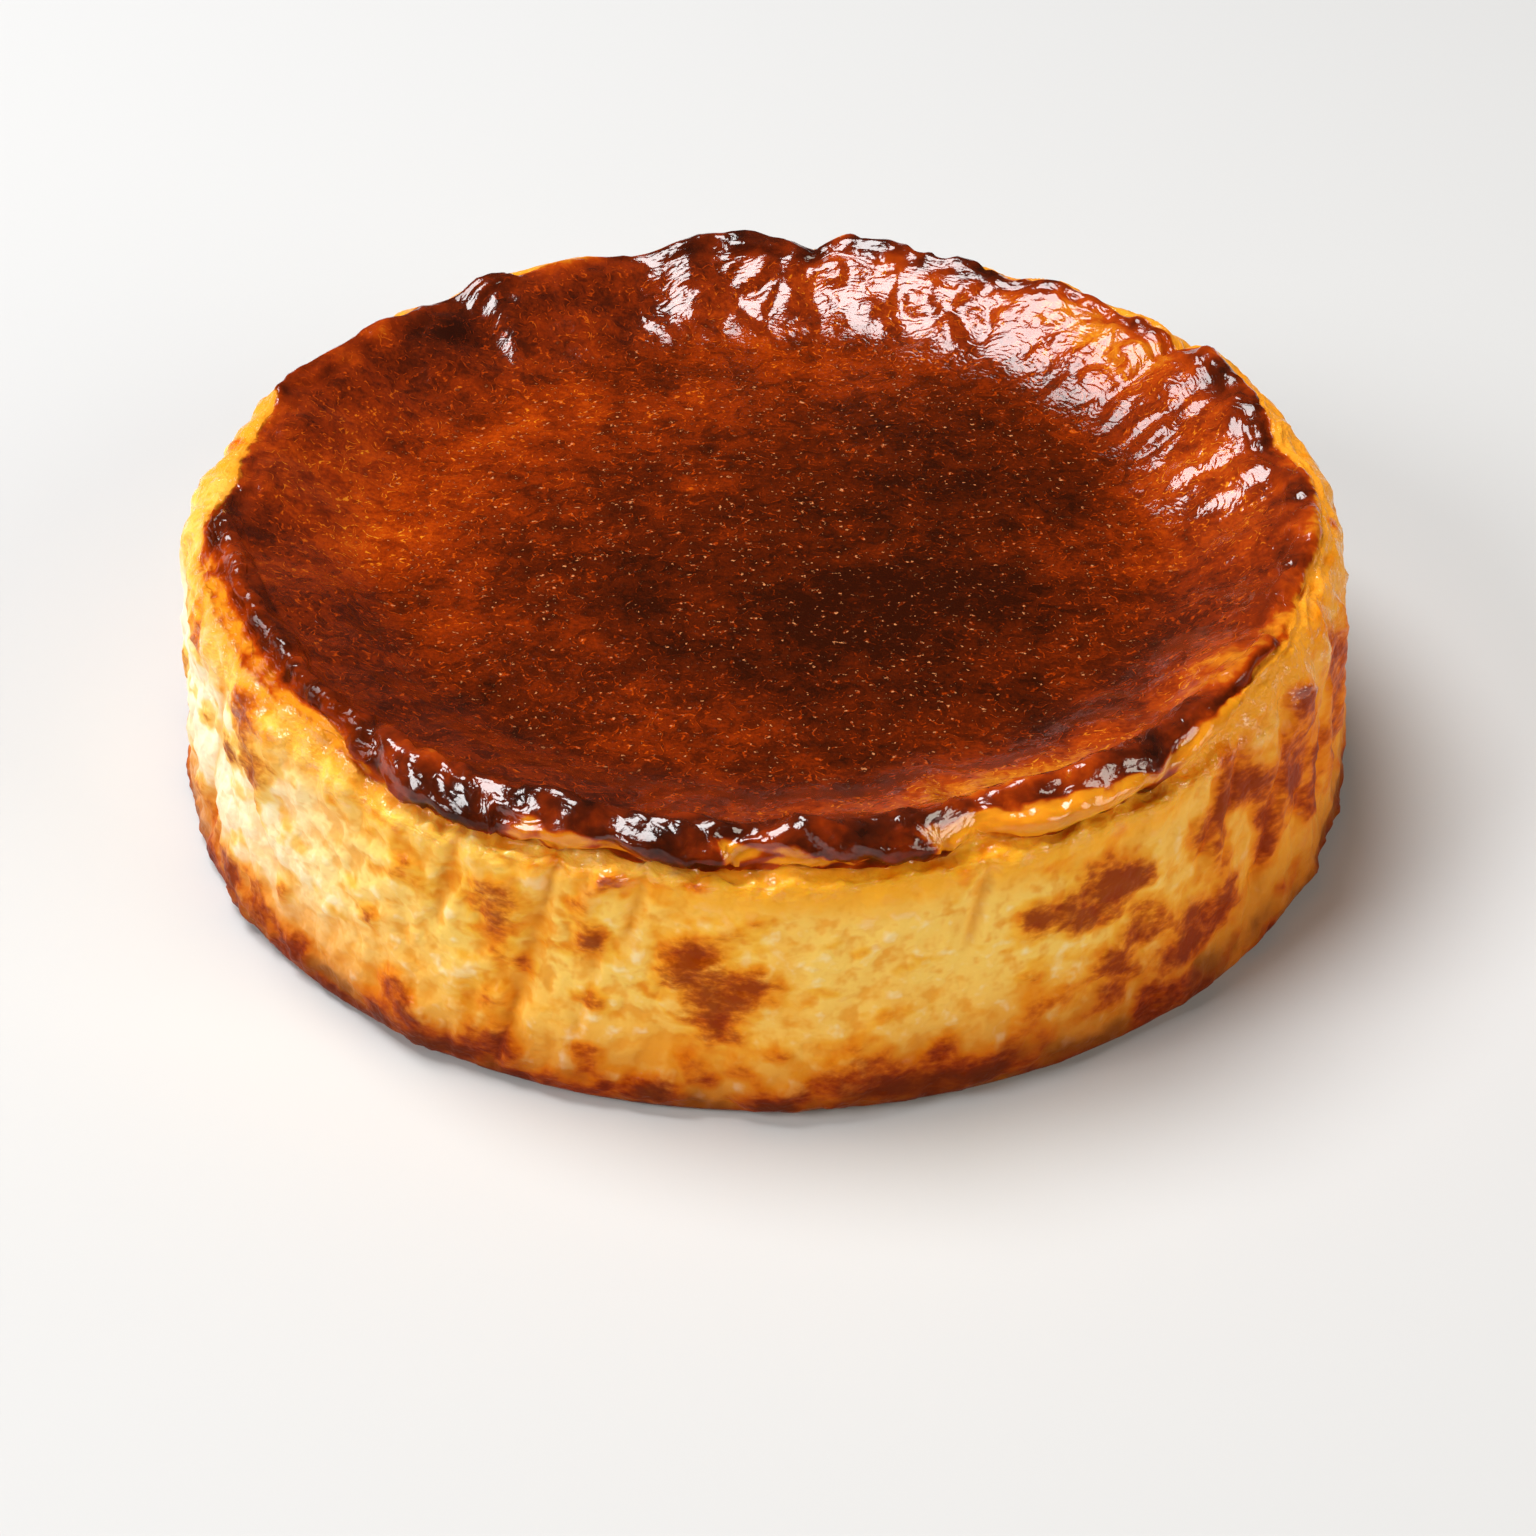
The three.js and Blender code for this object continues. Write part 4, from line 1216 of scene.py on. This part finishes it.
class CHEESECAKE_OT_stage(bpy.types.Operator):
    """Makes the floor, the softboxes and the camera"""

    bl_idname = "cheesecake.stage"
    bl_label = "Stage"

    def execute(self, context):
        stage = context.scene.cheesecake_stage
        scene = context.scene
        scene.view_settings.view_transform = "Standard"
        bpy.ops.mesh.primitive_plane_add(size=FLOOR_SIZE)
        floor = context.object
        floor.name = "floor"
        paint = bpy.data.materials.new("floor_paint")
        paint.use_nodes = True
        floor_shader = paint.node_tree.nodes["Principled BSDF"]
        floor_shader.inputs["Base Color"].default_value = (*stage.floor_colour, 1)
        floor_shader.inputs["Roughness"].default_value = FLOOR_ROUGHNESS
        floor.data.materials.append(paint)
        for name, place, width, colour in SOFTBOXES:
            softbox(f"{name}_box", place, width, getattr(stage, f"{name}_power"), colour)
        scene.world = studio_world(stage.world_light)
        camera = bpy.data.objects.new("camera", bpy.data.cameras.new("camera"))
        camera.data.lens = stage.lens
        camera.data.sensor_width = SENSOR_WIDTH
        camera.location = stage.camera_place
        look_at(camera, stage.camera_aim)
        scene.collection.objects.link(camera)
        scene.camera = camera
        return {"FINISHED"}


class CHEESECAKE_PT_bench(bpy.types.Panel):
    """Lists the cake's operators and settings"""

    bl_label = "Cheesecake"
    bl_space_type = "VIEW_3D"
    bl_region_type = "UI"
    bl_category = "Cheesecake"

    def draw(self, context):
        for operator, settings in (
            (CHEESECAKE_OT_stage, (context.scene.cheesecake_stage,)),
            (CHEESECAKE_OT_cake, (context.scene.cheesecake_relief, context.scene.cheesecake_finish)),
        ):
            self.layout.operator(operator.bl_idname)
            for group in settings:
                for name in group.__annotations__:
                    self.layout.prop(group, name)


SETTINGS = {
    "cheesecake_relief": ReliefSettings,
    "cheesecake_finish": FinishSettings,
    "cheesecake_stage": StageSettings,
}
CLASSES = (*SETTINGS.values(), CHEESECAKE_OT_stage, CHEESECAKE_OT_cake, CHEESECAKE_PT_bench)


def register():
    """Adds the settings, operators and panel to Blender."""
    for kind in CLASSES:
        bpy.utils.register_class(kind)
    for name, kind in SETTINGS.items():
        setattr(bpy.types.Scene, name, bpy.props.PointerProperty(type=kind))


def unregister():
    """Takes them away again."""
    for name in SETTINGS:
        delattr(bpy.types.Scene, name)
    for kind in reversed(CLASSES):
        bpy.utils.unregister_class(kind)


def main():
    """Makes the stage and the cake."""
    register()
    bpy.ops.cheesecake.stage()
    bpy.ops.cheesecake.cake()


if __name__ == "__main__":
    main()
